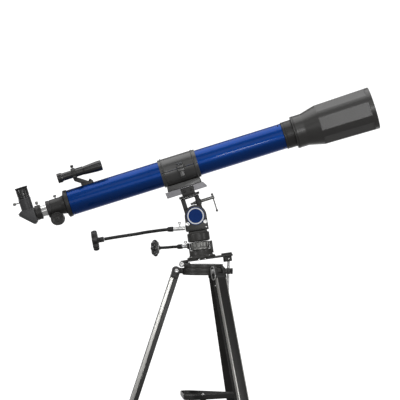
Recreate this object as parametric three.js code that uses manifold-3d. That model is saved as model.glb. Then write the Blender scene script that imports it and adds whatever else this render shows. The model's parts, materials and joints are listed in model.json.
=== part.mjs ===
// A 70 mm refracting telescope on a small equatorial mount and a folding aluminium tripod.
// Millimetres, +Z up. The tube points to +X and up, the latitude plate tilts in the XZ plane,
// and the origin is under the middle of the object's box, on the floor.
import * as THREE from "three";
import { mergeVertices } from "three/addons/utils/BufferGeometryUtils.js";
import Module from "manifold-3d";

const wasm = await Module();
wasm.setup();

// ---- driving dimensions -------------------------------------------------------------------------
const GAP = 0.3; // between pieces that touch
const DEGREE = Math.PI / 180;

const HINGE_HEIGHT = 721; // leg hinges above the floor
const HINGE_CIRCLE = 83; // radius of the leg hinges round the tripod's axis
const LEG_TURN = 4; // degrees, how far the tripod is turned on its axis
const LEG_TILT = 18.2; // degrees from plumb
const LEGS = { left: 180, front: -60, rear: 60 }; // azimuths before LEG_TURN
const LEG_DEPTH = 24; // radial
const LEG_WIDTH = 36; // across
const UPPER_END = 640; // lower end of the upper leg, along the leg from its hinge
const FOOT_RADIUS = 13;
const FOOT_FLAT = 1.5; // how much of the foot's ball is cut flat

const ARM_ON_LEG = 560; // spreader arm's pivot along the leg
const ARM_INSET = 18; // and inward from the leg's middle
const ARM_SLOPE = 30; // degrees up towards the hub
const HUB_PIVOT = 31; // radius of the arm ends at the hub
const TRAY_INRADIUS = 66;

const HEAD_RADIUS = 64;
const HEAD_BOTTOM = 708;
const HEAD_TOP = 729.7;
const LATITUDE_HINGE = { x: -65.5, z: 741 };
const PLATE_TILT = 8; // degrees
const CLAMP_OFFSET = { x: 144, z: -21.4 }; // rod clamp from the latitude hinge
const ROD_PIN = { x: 146.2, z: -3 }; // in the tilting plate's frame
const ROD_LEAN = 1.8; // degrees to the right, going up
const POLAR_X = 63; // polar axis in the plate's frame
const DEC_HEIGHT = 142; // declination axis above the plate's hinge plane
const DEC_LEAN = 9.35; // degrees between the polar axis and the cradle's upright

const TUBE_HEIGHT = 155; // tube axis above the declination axis
const TUBE_RADIUS = 40;
const TUBE_REAR = -360;
const TUBE_FRONT = 334;
const PINION = { s: -410, v: -36 }; // focuser shaft, in the tube's frame
const EYEPIECE_AT = -491;
const EYEPIECE_BARREL = 15.85; // radius of a standard 31.7 mm barrel
const EYEPIECE_BORE = 16.3;
const FINDER_HEIGHT = 82.5; // finder axis above the tube axis

const COLOURS = {
  black: "#17181a", graphite: "#33363a", grey: "#6c7073", silver: "#c3c7cb", steel: "#aeb4ba",
  blue: "#14337f", glass: "#5a7f8a", rubber: "#101112", bar: "#b9bdc2", white: "#e6e8ea",
};

// ---- shapes -------------------------------------------------------------------------------------

// A three.js geometry as a manifold-3d solid with its faces outwards.
function solid(geometry) {
  const plain = geometry.index ? geometry.toNonIndexed() : geometry;
  const bare = new THREE.BufferGeometry().setAttribute("position", plain.getAttribute("position"));
  const merged = mergeVertices(bare, 1e-3);
  const triVerts = new Uint32Array(merged.index.array);
  const build = () =>
    new wasm.Manifold(
      new wasm.Mesh({ numProp: 3, vertProperties: merged.attributes.position.array, triVerts }),
    );
  const made = build();
  if (made.volume() > 0) return made;
  for (let i = 0; i < triVerts.length; i += 3) {
    [triVerts[i + 1], triVerts[i + 2]] = [triVerts[i + 2], triVerts[i + 1]];
  }
  return build();
}

const join = (first, ...others) => others.reduce((all, one) => all.add(one), first);
const cut = (first, ...others) => others.reduce((all, one) => all.subtract(one), first);

function box(x0, x1, y0, y1, z0, z1) {
  const geometry = new THREE.BoxGeometry(x1 - x0, y1 - y0, z1 - z0);
  return solid(geometry.translate((x0 + x1) / 2, (y0 + y1) / 2, (z0 + z1) / 2));
}

const TURN_TO = {
  x: new THREE.Matrix4().makeRotationZ(-Math.PI / 2),
  y: new THREE.Matrix4(),
  z: new THREE.Matrix4().makeRotationX(Math.PI / 2),
};

// A solid of revolution about the line through (at) along an axis; the profile is [radius, along].
function turned(axis, profile, sides = 24, at = [0, 0, 0]) {
  const points = profile.map(([r, along]) => new THREE.Vector2(r, along));
  const geometry = new THREE.LatheGeometry(points, sides);
  geometry.rotateY(Math.PI / sides);
  return solid(geometry.applyMatrix4(TURN_TO[axis]).translate(...at));
}

// A plain cylinder along an axis, from one place on it to another.
function bar(axis, radius, from, to, at = [0, 0, 0], sides = 16) {
  return turned(axis, [[0, from], [radius, from], [radius, to], [0, to]], sides, at);
}

// A ring or tube along an axis.
function pipe(axis, inner, outer, from, to, at = [0, 0, 0], sides = 32) {
  const profile = [[inner, from], [outer, from], [outer, to], [inner, to], [inner, from]];
  return turned(axis, profile, sides, at);
}

// An outline in the XZ plane, given a thickness from y0 to y1.
function slab(outline, y0, y1, holes = []) {
  const shape = outline instanceof THREE.Shape ? outline : new THREE.Shape(
    outline.map(([x, z]) => new THREE.Vector2(x, z)),
  );
  holes.forEach(([x, z, r]) => shape.holes.push(new THREE.Path().absarc(x, z, r, 0, 2 * Math.PI)));
  const geometry = new THREE.ExtrudeGeometry(shape, {
    depth: y1 - y0, bevelEnabled: false, curveSegments: 12,
  });
  return solid(geometry.rotateX(Math.PI / 2).translate(0, y1, 0));
}

// A round tube along a smooth curve through points.
function alongCurve(points, radius, steps, sides = 10) {
  const path = new THREE.CatmullRomCurve3(points.map((p) => new THREE.Vector3(...p)));
  const section = new THREE.Shape(
    Array.from({ length: sides }, (_, i) => {
      const angle = (2 * Math.PI * i) / sides;
      return new THREE.Vector2(radius * Math.cos(angle), radius * Math.sin(angle));
    }),
  );
  return solid(new THREE.ExtrudeGeometry(section, { steps, extrudePath: path, bevelEnabled: false }));
}

// A knob with lobes: an outline whose radius swells and shrinks, given a thickness along an axis.
function lobedKnob(axis, radius, depth, lobes, from, to, at = [0, 0, 0]) {
  const count = lobes * (lobes > 8 ? 2 : 4);
  const outline = Array.from({ length: count }, (_, i) => {
    const angle = (2 * Math.PI * i) / count;
    const r = radius - (depth * (1 - Math.cos(lobes * angle))) / 2;
    return new THREE.Vector2(r * Math.cos(angle), r * Math.sin(angle));
  });
  const geometry = new THREE.ExtrudeGeometry(new THREE.Shape(outline), {
    depth: to - from, bevelEnabled: false,
  });
  geometry.translate(0, 0, from).applyMatrix4(new THREE.Matrix4().makeRotationX(-Math.PI / 2));
  return solid(geometry.applyMatrix4(TURN_TO[axis]).translate(...at));
}

// A named mesh made from a solid, with a material of its own.
function piece(name, body, colour, roughness, metalness = 0) {
  const { vertProperties, triVerts } = body.getMesh();
  const geometry = new THREE.BufferGeometry();
  geometry.setAttribute("position", new THREE.BufferAttribute(vertProperties, 3));
  geometry.setIndex(new THREE.BufferAttribute(triVerts, 1));
  const material = new THREE.MeshStandardMaterial({ color: COLOURS[colour], roughness, metalness });
  const mesh = new THREE.Mesh(geometry, material);
  mesh.name = name;
  return mesh;
}

// A group at a place, turned about one axis, named for the joint whose frame it is.
function frameAt(name, position, axis, degrees, ...children) {
  const group = new THREE.Group();
  group.name = name;
  group.position.set(...position);
  if (axis) group.rotation[axis] = degrees * DEGREE;
  if (children.length) group.add(...children);
  return group;
}

// ---- tripod -------------------------------------------------------------------------------------
const BOLT_RADIUS = 4;
const TONGUE_HALF = 7.5; // half the width of the head's tongue inside a leg fitting

function tripodHead() {
  let body = bar("z", HEAD_RADIUS, HEAD_BOTTOM, HEAD_TOP, [0, 0, 0], 32);
  body = cut(body, bar("z", 50, HEAD_BOTTOM - 1, HEAD_BOTTOM + 12, [0, 0, 0], 32));
  for (const azimuth of Object.values(LEGS)) {
    const tongue = cut(
      join(
        box(54, HINGE_CIRCLE, -TONGUE_HALF, TONGUE_HALF, -9, 8.5),
        bar("y", 9, -TONGUE_HALF, TONGUE_HALF, [HINGE_CIRCLE, 0, 0], 20),
      ),
      bar("y", BOLT_RADIUS + 0.6, -20, 20, [HINGE_CIRCLE, 0, 0]),
    );
    body = join(body, tongue.rotate([0, 0, azimuth + LEG_TURN]).translate([0, 0, HINGE_HEIGHT]));
  }
  return piece("tripod_head", body, "graphite", 0.5);
}

function legFitting(side) {
  const half = LEG_DEPTH / 2;
  const block = box(-half, half, -20, 20, -24, -10);
  const cheek = join(bar("y", 13.5, 8, 20, [0, 0, 0], 24), box(-12, 12, 8, 20, -14, 0));
  const bore = bar("y", BOLT_RADIUS + GAP, -21, 21);
  const body = cut(join(block, cheek, cheek.mirror([0, 1, 0])), bore);
  return piece(`leg_fitting_${side}`, body, "black", 0.5);
}

function legBolt(side) {
  const head = bar("y", 7, 20.3, 25.3);
  const body = join(bar("y", BOLT_RADIUS, -21, 21), head, head.mirror([0, 1, 0]));
  return piece(`leg_bolt_${side}`, body, "silver", 0.3, 1);
}

function upperLeg(side) {
  const x = LEG_DEPTH / 2, y = LEG_WIDTH / 2;
  const profile = box(-x, x, -y, y, -UPPER_END, -24 - GAP);
  const collar = box(-x - 3, x + 3, -y - 3, y + 3, -UPPER_END - 4, -UPPER_END + 26);
  const lug = join(
    bar("y", 6.5, 6, 11, [-ARM_INSET, 0, -ARM_ON_LEG]),
    box(-ARM_INSET, -x, 6, 11, -ARM_ON_LEG - 6.5, -ARM_ON_LEG + 6.5),
  );
  const pin = bar("y", 2.4, -8, 8, [-ARM_INSET, 0, -ARM_ON_LEG]);
  const shell = cut(join(profile, collar), box(-9.6, 9.6, -15.6, 15.6, -UPPER_END - 5, -40));
  const lockHole = bar("x", 3.4, 9, 20, [0, 0, -UPPER_END + 11]);
  return piece(
    `leg_upper_${side}`, cut(join(shell, lug, lug.mirror([0, 1, 0]), pin), lockHole), "graphite", 0.4, 0.6,
  );
}

function legLock(side) {
  const at = [0, 0, -UPPER_END + 11];
  const body = join(bar("x", 3, 9.6, 16, at, 12), lobedKnob("x", 11, 2.5, 5, 15.4, 27, at));
  return piece(`leg_lock_${side}`, body, "black", 0.5);
}

function lowerLeg(side) {
  const body = box(-9.2, 9.2, -15.2, 15.2, -730, -290);
  return piece(`leg_lower_${side}`, body, "silver", 0.35, 1);
}

// The foot is a ball on a socket, cut level with the floor.
function foot(side) {
  const down = -(HINGE_HEIGHT - FOOT_RADIUS + FOOT_FLAT) / Math.cos(LEG_TILT * DEGREE);
  const arc = Array.from({ length: 7 }, (_, i) => {
    const angle = (-90 + 15 * i) * DEGREE;
    return [FOOT_RADIUS * Math.cos(angle), down + FOOT_RADIUS * Math.sin(angle)];
  });
  arc[0][0] = 0;
  const ball = turned("z", [...arc, [17.5, -733], [17.5, -726], [0, -726]], 20);
  const socket = cut(ball, box(-9.5, 9.5, -15.5, 15.5, -730 - GAP, -720));
  const floor = box(150, 320, -60, 60, -900, -HINGE_HEIGHT).rotate([0, LEG_TILT, 0]);
  return piece(`foot_${side}`, cut(socket, floor), "rubber", 0.85);
}

const armRun = () => {
  const tilt = LEG_TILT * DEGREE;
  const x = HINGE_CIRCLE + ARM_ON_LEG * Math.sin(tilt) - ARM_INSET * Math.cos(tilt);
  const z = HINGE_HEIGHT - ARM_ON_LEG * Math.cos(tilt) - ARM_INSET * Math.sin(tilt);
  const length = (x - HUB_PIVOT) / Math.cos(ARM_SLOPE * DEGREE);
  return { length, hubHeight: z + length * Math.sin(ARM_SLOPE * DEGREE) };
};

// The arm's frame has its leg pivot at the origin and the arm along +Z.
function spreaderArm(side) {
  const { length } = armRun();
  const body = cut(
    join(
      box(-6, 6, -4.5, 4.5, 0, length),
      bar("y", 6, -4.5, 4.5, [0, 0, 0]),
      bar("y", 6, -4.5, 4.5, [0, 0, length]),
    ),
    bar("y", 3.1, -6, 6),
  );
  return piece(`spreader_arm_${side}`, body, "steel", 0.4, 1);
}

function leg(side, azimuth) {
  const arm = frameAt(
    `arm_fold_${side}`, [-ARM_INSET, 0, -ARM_ON_LEG], "y", ARM_SLOPE - 90 + LEG_TILT, spreaderArm(side),
  );
  const slide = frameAt(`leg_extend_${side}`, [0, 0, 0], null, 0, lowerLeg(side), foot(side));
  const lock = frameAt(`leg_lock_${side}`, [0, 0, -UPPER_END + 11], null, 0);
  const fold = frameAt(
    `leg_fold_${side}`, [HINGE_CIRCLE, 0, 0], "y", -LEG_TILT,
    legFitting(side), legBolt(side), upperLeg(side), legLock(side), slide, lock, arm,
  );
  return frameAt("", [0, 0, HINGE_HEIGHT], "z", azimuth + LEG_TURN, fold);
}

function spreaderHub() {
  let body = bar("z", 10, -9, 22, [0, 0, 0], 20);
  for (const azimuth of Object.values(LEGS)) {
    for (const y of [-10, 6]) {
      body = join(body, box(2, HUB_PIVOT + 7, y, y + 4, -9, 9).rotate([0, 0, azimuth + LEG_TURN]));
    }
  }
  return piece("spreader_hub", body, "black", 0.5);
}

// A three-cornered dish whose corners point between the legs.
function trayOutline(inradius, corner) {
  const shape = new THREE.Shape();
  const reach = 2 * (inradius - corner);
  for (let i = 0; i < 3; i++) {
    const middle = (120 * i + LEG_TURN) * DEGREE;
    const x = reach * Math.cos(middle), y = reach * Math.sin(middle);
    shape.absarc(x, y, corner, middle - Math.PI / 3, middle + Math.PI / 3, false);
  }
  return shape;
}

function accessoryTray() {
  const flat = (inradius, corner, z0, z1) =>
    solid(new THREE.ExtrudeGeometry(trayOutline(inradius, corner), {
      depth: z1 - z0, bevelEnabled: false, curveSegments: 8,
    }).translate(0, 0, z0));
  const dish = cut(flat(TRAY_INRADIUS, 24, 22 + GAP, 38), flat(TRAY_INRADIUS - 3, 21, 26, 40));
  return piece("accessory_tray", dish, "black", 0.5);
}

// ---- azimuth base and latitude adjuster -----------------------------------------------------------
const EAR = { inner: 20, outer: 28, radius: 8.5 };
const FORK = { inner: 11, outer: 17 };
const BASE_BOTTOM = 730;
const BASE_TOP = 741;

function azimuthBase() {
  const { x, z } = LATITUDE_HINGE;
  const clamp = { x: x + CLAMP_OFFSET.x, z: z + CLAMP_OFFSET.z };
  const disc = cut(
    bar("z", 62, BASE_BOTTOM, BASE_TOP, [0, 0, 0], 32),
    box(-70, -50, -EAR.inner, EAR.inner, BASE_BOTTOM - 1, BASE_TOP + 1),
  );
  const ear = (y0, y1) =>
    join(
      bar("y", EAR.radius, y0, y1, [x, 0, z], 20),
      box(x, -40, y0, y1, BASE_BOTTOM + 4, z + 5),
    );
  const forkOutline = [
    [44, BASE_BOTTOM], [44, 738], [60, 738], [70, 727], [clamp.x + 6, 727], [clamp.x + 6, clamp.z - 8],
    [69, clamp.z - 8], [66.5, 714], [66.5, BASE_BOTTOM],
  ];
  const cheek = (y0, y1) => slab(forkOutline, y0, y1);
  const body = cut(
    join(
      disc, ear(EAR.inner, EAR.outer), ear(-EAR.outer, -EAR.inner),
      cheek(FORK.inner, FORK.outer), cheek(-FORK.outer, -FORK.inner),
    ),
    bar("y", 4.3, -40, 40, [x, 0, z]),
    bar("y", 3.4, -40, 40, [clamp.x, 0, clamp.z]),
  );
  return piece("azimuth_base", body, "graphite", 0.5);
}

function latitudeHingeBolt() {
  const head = bar("y", 7.5, -33, -EAR.outer - GAP, [0, 0, 0], 20);
  const nut = bar("y", 6.5, EAR.outer + GAP, 33, [0, 0, 0], 6);
  return piece("latitude_hinge_bolt", join(bar("y", 4, -30, 30), head, nut), "silver", 0.3, 1);
}

function tiltPlate() {
  const width = 36;
  const plate = box(14, 160, -width, width, 4.5, 10.5);
  const neck = box(-2, 20, -EAR.inner + 0.6, EAR.inner - 0.6, 2, 10.5);
  const knuckle = bar("y", EAR.radius, -EAR.inner + 0.6, EAR.inner - 0.6, [0, 0, 0], 20);
  const clevis = box(127, 156, -17, 17, -11.5, 5);
  const slot = box(134, 158, -6, 6, -13, 4.5);
  const cap = box(125, 158, -20, 20, 10, 15.5);
  const body = cut(
    join(plate, neck, knuckle, clevis, cap), slot,
    bar("y", 4.6, -30, 30), bar("y", 3.1, -30, 30, [ROD_PIN.x, 0, ROD_PIN.z]),
  );
  return piece("tilt_plate", body, "black", 0.5);
}

// In the rod's own frame: its pin at the origin, the rod hanging down -Z.
function latitudeRod() {
  const body = join(bar("z", 4, -182, 2), bar("y", 2.5, -16.5, 16.5, [0, 0, 0], 12));
  return piece("latitude_rod", body, "silver", 0.25, 1);
}

function latitudeClamp() {
  const block = join(
    box(-6.5, 5.5, -10, 10, -9, 9),
    bar("y", 3, -16.5, 16.5, [0, 0, 0], 12),
  );
  return piece(
    "latitude_clamp", cut(block, bar("z", 5, -12, 12, [0, 0, 0], 16), bar("x", 2.9, 4, 8)), "black", 0.5,
  );
}

function latitudeKnob() {
  const grip = lobedKnob("x", 9.3, 0.9, 12, 6, 14);
  return piece("latitude_knob", join(grip, bar("x", 2.4, 5.1, 7, [0, 0, 0], 12)), "black", 0.5);
}

// ---- polar head, in the tilting plate's frame with the polar axis at the origin --------------------
const WORM_HEIGHT = 52.2; // of the polar worm above the plate's hinge plane
const RING_RADIUS = 30.5;
const WORM_FACE = -35; // left face of the polar worm housing, from the polar axis
const CONTROL_RISE = 4; // degrees that both controls point up from the plate

function raBase() {
  const profile = [[0, 10.8], [44, 10.8], [44, 16], [37, 17], [33, 36], [24, 36], [24, 61], [0, 61]];
  const wormHousing = box(WORM_FACE, -30.8, -7, 7, 24, 61);
  const lockBlock = box(30.9, 40, -7, 7, 24, 60);
  const body = join(turned("z", profile, 32), wormHousing, lockBlock);
  return piece("ra_base", body, "graphite", 0.5);
}

function raSettingRing() {
  const ring = cut(
    lobedKnob("z", RING_RADIUS - 0.2, 1.6, 14, 37, 60.5),
    bar("z", 24.6, 30, 70, [0, 0, 0], 32),
  );
  return piece("ra_setting_ring", ring, "silver", 0.35, 1);
}

const RA_CONTROL_TURN = 20; // degrees away from the front, pointing left

// A control's frame has its origin at the worm housing and points along +X. The sleeve has a
// thumbscrew that grips the worm.
function controlSleeve(name, start, end, screwAt, screwHeight) {
  const body = join(
    bar("x", 6, start, end, [0, 0, 0], 20),
    bar("z", 2, 0, screwHeight, [screwAt, 0, 0], 12),
    bar("z", 5.2, screwHeight - 3, screwHeight + 4, [screwAt, 0, 0], 12),
  );
  return piece(name, body, "silver", 0.25, 1);
}

const RA_SHAFT = { start: 20, collar: 36, end: 95, radius: 4.5 };

function raFlexShaft() {
  const { start, collar, end, radius } = RA_SHAFT;
  const ferrule = bar("x", 7.5, start, collar, [0, 0, 0], 20);
  const route = [[collar - 1, 0, 0], [52, 0, 0.3], [74, 0, -0.3], [end, 0, 0]];
  return piece("ra_flex_shaft", join(ferrule, alongCurve(route, radius, 12)), "black", 0.6);
}

function raKnob() {
  const nut = bar("x", 9, GAP, 8.5, [0, 0, 0], 6);
  return piece("ra_knob", join(nut, lobedKnob("x", 26.5, 5, 8, 8, 23)), "black", 0.3);
}

// ---- turning part of the polar head ----------------------------------------------------------------
function raHousing() {
  const outline = [[-34, -20], [-26, -25], [26, -25], [34, -20], [34, 20], [26, 25], [-26, 25], [-34, 20]];
  const shape = new THREE.Shape(outline.map(([x, y]) => new THREE.Vector2(x * 0.86, y)));
  const block = solid(new THREE.ExtrudeGeometry(shape, { depth: 34, bevelEnabled: false }))
    .translate([0, 0, 62]);
  const round = bar("z", 34.5, 64, 90, [0, 0, 0], 32);
  const column = box(-22, 22, -7, 7, 90, DEC_HEIGHT - 20);
  const stub = join(box(-18, 18, -7, 7, DEC_HEIGHT - 30, DEC_HEIGHT), bar("y", 18, -7, 7, [0, 0, DEC_HEIGHT]));
  const axle = bar("y", 9, 0, 31, [0, 0, DEC_HEIGHT], 20);
  return piece("ra_housing", join(block, round, column, stub, axle), "graphite", 0.5);
}

const COVER = { half: 35, front: -29, back: -7.6 };
const DEC_CONTROL = { x: -36.8, y: -18, z: 108.6 }; // where the declination worm comes out

function decCover() {
  const shape = new THREE.Shape();
  shape.moveTo(-COVER.half, 96.3);
  shape.lineTo(COVER.half, 96.3);
  shape.lineTo(34, DEC_HEIGHT);
  shape.absarc(0, DEC_HEIGHT, 34, 0, Math.PI, false);
  const shell = slab(shape, COVER.front, COVER.back);
  const wormHousing = bar("x", 9.5, DEC_CONTROL.x + 0.3, -20, [0, DEC_CONTROL.y, DEC_CONTROL.z], 20);
  return piece("dec_cover", join(shell, wormHousing), "graphite", 0.45);
}

function badge() {
  const disc = bar("y", 28, COVER.front - 3, COVER.front - GAP, [0, 0, DEC_HEIGHT], 40);
  return piece("badge", disc, "blue", 0.2);
}


const DEC_SHAFT_END = [250, 60, -15.2];
const DEC_KNOB_DROOP = 5.5; // degrees

// The stiff shaft runs out to the left and swings forward, clear of the tube's path.
function decFlexShaft() {
  const ferrule = bar("x", 8, 37, 55, [0, 0, 0], 20);
  const route = [
    [54, 0, 0], [72, 3, -0.6], [96, 14, -2], [122, 31, -3.6], [150, 45, -6.5], [187, 55, -9.4],
    [222, 59.5, -12.4], DEC_SHAFT_END,
  ];
  return piece("dec_flex_shaft", join(ferrule, alongCurve(route, 5, 26, 8)), "black", 0.6);
}

function decKnob() {
  const collar = bar("x", 8.2, 0.6, 19, [0, 0, 0], 20);
  return piece("dec_knob", join(collar, lobedKnob("x", 31.5, 6, 8, 18, 37)), "black", 0.5);
}

// ---- yoke and saddle, in the declination frame: s along the tube, y across, v up --------------------
const YOKE_Y = [9, 29];

function yoke() {
  const [y0, y1] = YOKE_Y;
  const disc = bar("y", 30, y0, y1, [0, 0, 0], 32);
  const arms = join(box(-30, -16, y0, y1, 0, 62), box(14, 28, y0, y1, 0, 62));
  const body = cut(
    join(disc, arms, box(-30, 28, y0, y1, 58, 62)),
    bar("y", 9.6, 0, 40, [0, 0, 0], 20),
    bar("x", 5.4, 10, 40, [0, (y0 + y1) / 2, 39]),
  );
  return piece("yoke", body, "black", 0.5);
}

const SCREW_AT = [0, (YOKE_Y[0] + YOKE_Y[1]) / 2, 39];

function tensionScrew() {
  const body = cut(
    bar("x", 5, 6, 73, SCREW_AT),
    bar("z", 2.4, 20, 60, [68.5, SCREW_AT[1], 0], 12),
  );
  return piece("tension_screw", body, "silver", 0.2, 1);
}

function tommyBar() {
  const at = [68.5, SCREW_AT[1], 0];
  const ball = (v) => {
    const half = Array.from({ length: 9 }, (_, i) => {
      const angle = (-90 + 22.5 * i) * DEGREE;
      return [4 * Math.cos(angle), v + 4 * Math.sin(angle)];
    });
    half[0][0] = 0;
    half[8][0] = 0;
    return turned("z", half, 12, at);
  };
  return piece("tommy_bar", join(bar("z", 2, -3.7, 48.3, at, 12), ball(-3.7), ball(48.3)), "silver", 0.2, 1);
}

function saddle() {
  const flange = box(-32.5, 32.5, -22, YOKE_Y[1], 62.3, 70);
  const block = box(-20.5, 20.5, -22, 22, 66, 76);
  const jaw = join(box(-20.5, 20.5, 19, 26, 70, 93), box(-20.5, 20.5, -26, -19, 70, 93));
  const bed = box(-20.5, 20.5, -19, 19, 74, 75.3);
  return piece("saddle", join(flange, block, jaw, bed), "black", 0.45);
}

function dovetailBar() {
  const shape = new THREE.Shape();
  const outline = [[-67, 76.3], [61, 76.3], [61, 82], [53, 94.7], [-69, 94.7]];
  outline.forEach(([s, v], i) => (i ? shape.lineTo(s, v) : shape.moveTo(s, v)));
  return piece("dovetail_bar", slab(shape, -18, 18), "bar", 0.4, 1);
}

// ---- cradle, in the tube's frame --------------------------------------------------------------------
const CRADLE = { rear: -64, front: 55, inner: 40.4, outer: 44, pivot: 51 };

// Half of a split sleeve with raised ribs at its ends: side is +1 above the split, -1 below it.
function cradleShell(side) {
  const { rear, front, inner, outer } = CRADLE;
  const sleeve = pipe("x", inner, outer, rear, front, [0, 0, 0]);
  const ribs = join(
    pipe("x", inner, outer + 2.5, rear + 8, rear + 11.5),
    pipe("x", inner, outer + 2.5, front - 12.5, front - 9),
  );
  const keep = side > 0 ? box(-80, 80, -60, 60, 0.4, 60) : box(-80, 80, -60, 60, -60, -0.4);
  return join(sleeve, ribs).intersect(keep);
}

function cradleLower() {
  const seat = cut(box(-60, 50, -17, 17, -60, -30), bar("x", 42, -90, 90, [0, 0, 0], 40));
  const knuckle = (s0, s1) =>
    join(bar("x", 6, s0, s1, [0, CRADLE.pivot, 0]), box(s0, s1, 42, CRADLE.pivot, -6, -0.4));
  const pin = bar("x", 2.5, -25, 25, [0, CRADLE.pivot, 0], 12);
  const lug = cut(box(-12, 12, -56, -43, -10, -0.4), bar("z", 4.4, -20, 5, [0, -50, 0]));
  const boss = cut(box(-7, 7, -53, -34, -32, -9), bar("x", 41, -20, 20), bar("z", 4.4, -15, 0, [0, -50, 0]));
  const body = join(cradleShell(-1), seat, knuckle(-34, -20.3), knuckle(20.3, 34), pin, lug, boss);
  return piece("cradle_lower", body, "black", 0.45);
}

function cradleUpper() {
  const knuckle = join(
    bar("x", 6, -20, 20, [0, CRADLE.pivot, 0]),
    box(-20, 20, 42, CRADLE.pivot, 0.4, 6),
  );
  const lug = cut(box(-12, 12, -56, -43, 0.4, 9), bar("z", 3.4, -5, 20, [0, -50, 0]));
  const body = cut(join(cradleShell(1), knuckle, lug), bar("x", 3.2, -30, 30, [0, CRADLE.pivot, 0]));
  return piece("cradle_upper", body, "black", 0.45);
}

// A threaded stud with a winged grip, its axis at the origin.
function cradleLatch() {
  const wings = slab([
    [-6, 9.4], [6, 9.4], [8.5, 15.5], [10.5, 22], [6, 22], [3, 16], [-3, 16], [-6, 22], [-10.5, 22],
    [-8.5, 15.5],
  ], -2.2, 2.2);
  const body = join(bar("z", 3, -12, 14, [0, 0, 0], 12), bar("z", 6, 9.4, 15), wings);
  return piece("cradle_latch", body, "silver", 0.35, 1);
}

// ---- tube ---------------------------------------------------------------------------------------------
function mainTube() {
  const body = pipe("x", TUBE_RADIUS - 1.6, TUBE_RADIUS, TUBE_REAR + GAP, TUBE_FRONT, [0, 0, 0], 48);
  return piece("main_tube", body, "blue", 0.15);
}

function objectiveCell() {
  const profile = [
    [35.4, 334.3], [42.5, 334.3], [42.5, 366.7], [40, 366.7], [40, 399], [33, 399], [33, 362], [35.4, 362],
    [35.4, 334.3],
  ];
  return piece("objective_cell", turned("x", profile, 40), "black", 0.4);
}

function objectiveLens() {
  const profile = [[0, 352], [26, 353], [35, 355], [35, 361.6], [32.6, 361.6], [20, 365.5], [0, 367]];
  return piece("objective_lens", turned("x", profile, 32), "glass", 0.05);
}

// A flaring hood with six flats cut into its cone, each FLAT_HALF degrees to a side.
const FLAT_HALF = 19.5;

function dewShield() {
  const profile = [
    [40.6, 367], [50.5, 367], [50.5, 402], [62.5, 450], [66.5, 627], [62.8, 627], [61, 614], [57.2, 452],
    [46, 402], [40.6, 399], [40.6, 367],
  ];
  const hood = turned("x", profile, 48);
  const reach = Math.cos(FLAT_HALF * DEGREE) / Math.cos(30 * DEGREE);
  const flats = turned("x", [[0, 450], [62.5 * reach, 450], [66.16 * reach, 612], [0, 612]], 6);
  const shave = cut(bar("x", 90, 450, 612, [0, 0, 0], 16), flats.rotate([30, 0, 0]));
  return piece("dew_shield", cut(hood, shave), "graphite", 0.5);
}

function focuserBody() {
  const profile = [
    [17.6, -433], [27, -433], [27, -385], [30, -375], [42.5, -372], [42.5, -360], [38, -360], [30, -366],
    [17.6, -368], [17.6, -433],
  ];
  const pinionBox = cut(
    box(-428, -392, -14, 14, -43, -18),
    bar("x", 20, -440, -380, [0, 0, 0], 32),
    bar("y", 3.6, -20, 20, [PINION.s, 0, PINION.v]),
  );
  return piece("focuser_body", join(turned("x", profile, 32), pinionBox), "graphite", 0.5);
}

function drawtube() {
  const profile = [
    [14, -469], [23, -469], [23, -451], [17, -451], [17, -260], [14, -260], [14, -469],
  ];
  const screw = join(bar("z", 2, 20, 27, [-459, 0, 0], 12), bar("z", 4.5, 26, 35, [-459, 0, 0], 12));
  return piece("drawtube", join(turned("x", profile, 32), screw), "silver", 0.3, 1);
}

function focusKnobs() {
  const at = [PINION.s, 0, PINION.v];
  const knob = lobedKnob("y", 20.7, 1.2, 20, 24, 37, at);
  const body = join(bar("y", 3, -30, 30, at, 12), knob, knob.mirror([0, 1, 0]));
  return piece("focus_knobs", body, "black", 0.5);
}

// The mirror box, its nose in the drawtube and the eyepiece holder on top.
function diagonal() {
  const outline = [[-471, 20], [-511, 20], [-523, 12], [-480, -32], [-471, -25]];
  const nose = pipe("x", 11, 13.6, -472, -440, [0, 0, 0], 24);
  const holder = pipe("z", EYEPIECE_BORE, 19, 10, 55, [EYEPIECE_AT, 0, 0], 28);
  const hollow = bar("z", EYEPIECE_BORE, 6, 60, [EYEPIECE_AT, 0, 0], 28);
  const screw = join(
    bar("x", 1.8, -522, -508, [0, 0, 46], 12), bar("x", 4.2, -530, -521, [0, 0, 46], 12),
  );
  const body = join(cut(join(slab(outline, -19, 19), nose), hollow), holder, screw);
  return piece("diagonal", cut(body, hollow), "grey", 0.45);
}

function eyepiece() {
  const profile = [
    [0, 24], [EYEPIECE_BARREL, 24], [EYEPIECE_BARREL, 55.3], [18.5, 55.3], [18.5, 86.5], [20, 87], [20, 91], [13, 91], [10, 84], [0, 84],
  ];
  return piece("eyepiece", turned("z", profile, 28, [EYEPIECE_AT, 0, 0]), "black", 0.45);
}

function finderScope() {
  const profile = [
    [0, -372], [13, -374], [15.5, -374], [15.5, -360], [12.5, -357], [12.5, -288], [13.5, -284],
    [16.3, -248], [16.3, -231], [14, -231], [13, -236], [0, -238],
  ];
  return piece("finder_scope", turned("x", profile, 28, [0, 0, FINDER_HEIGHT]), "black", 0.4);
}

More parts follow.
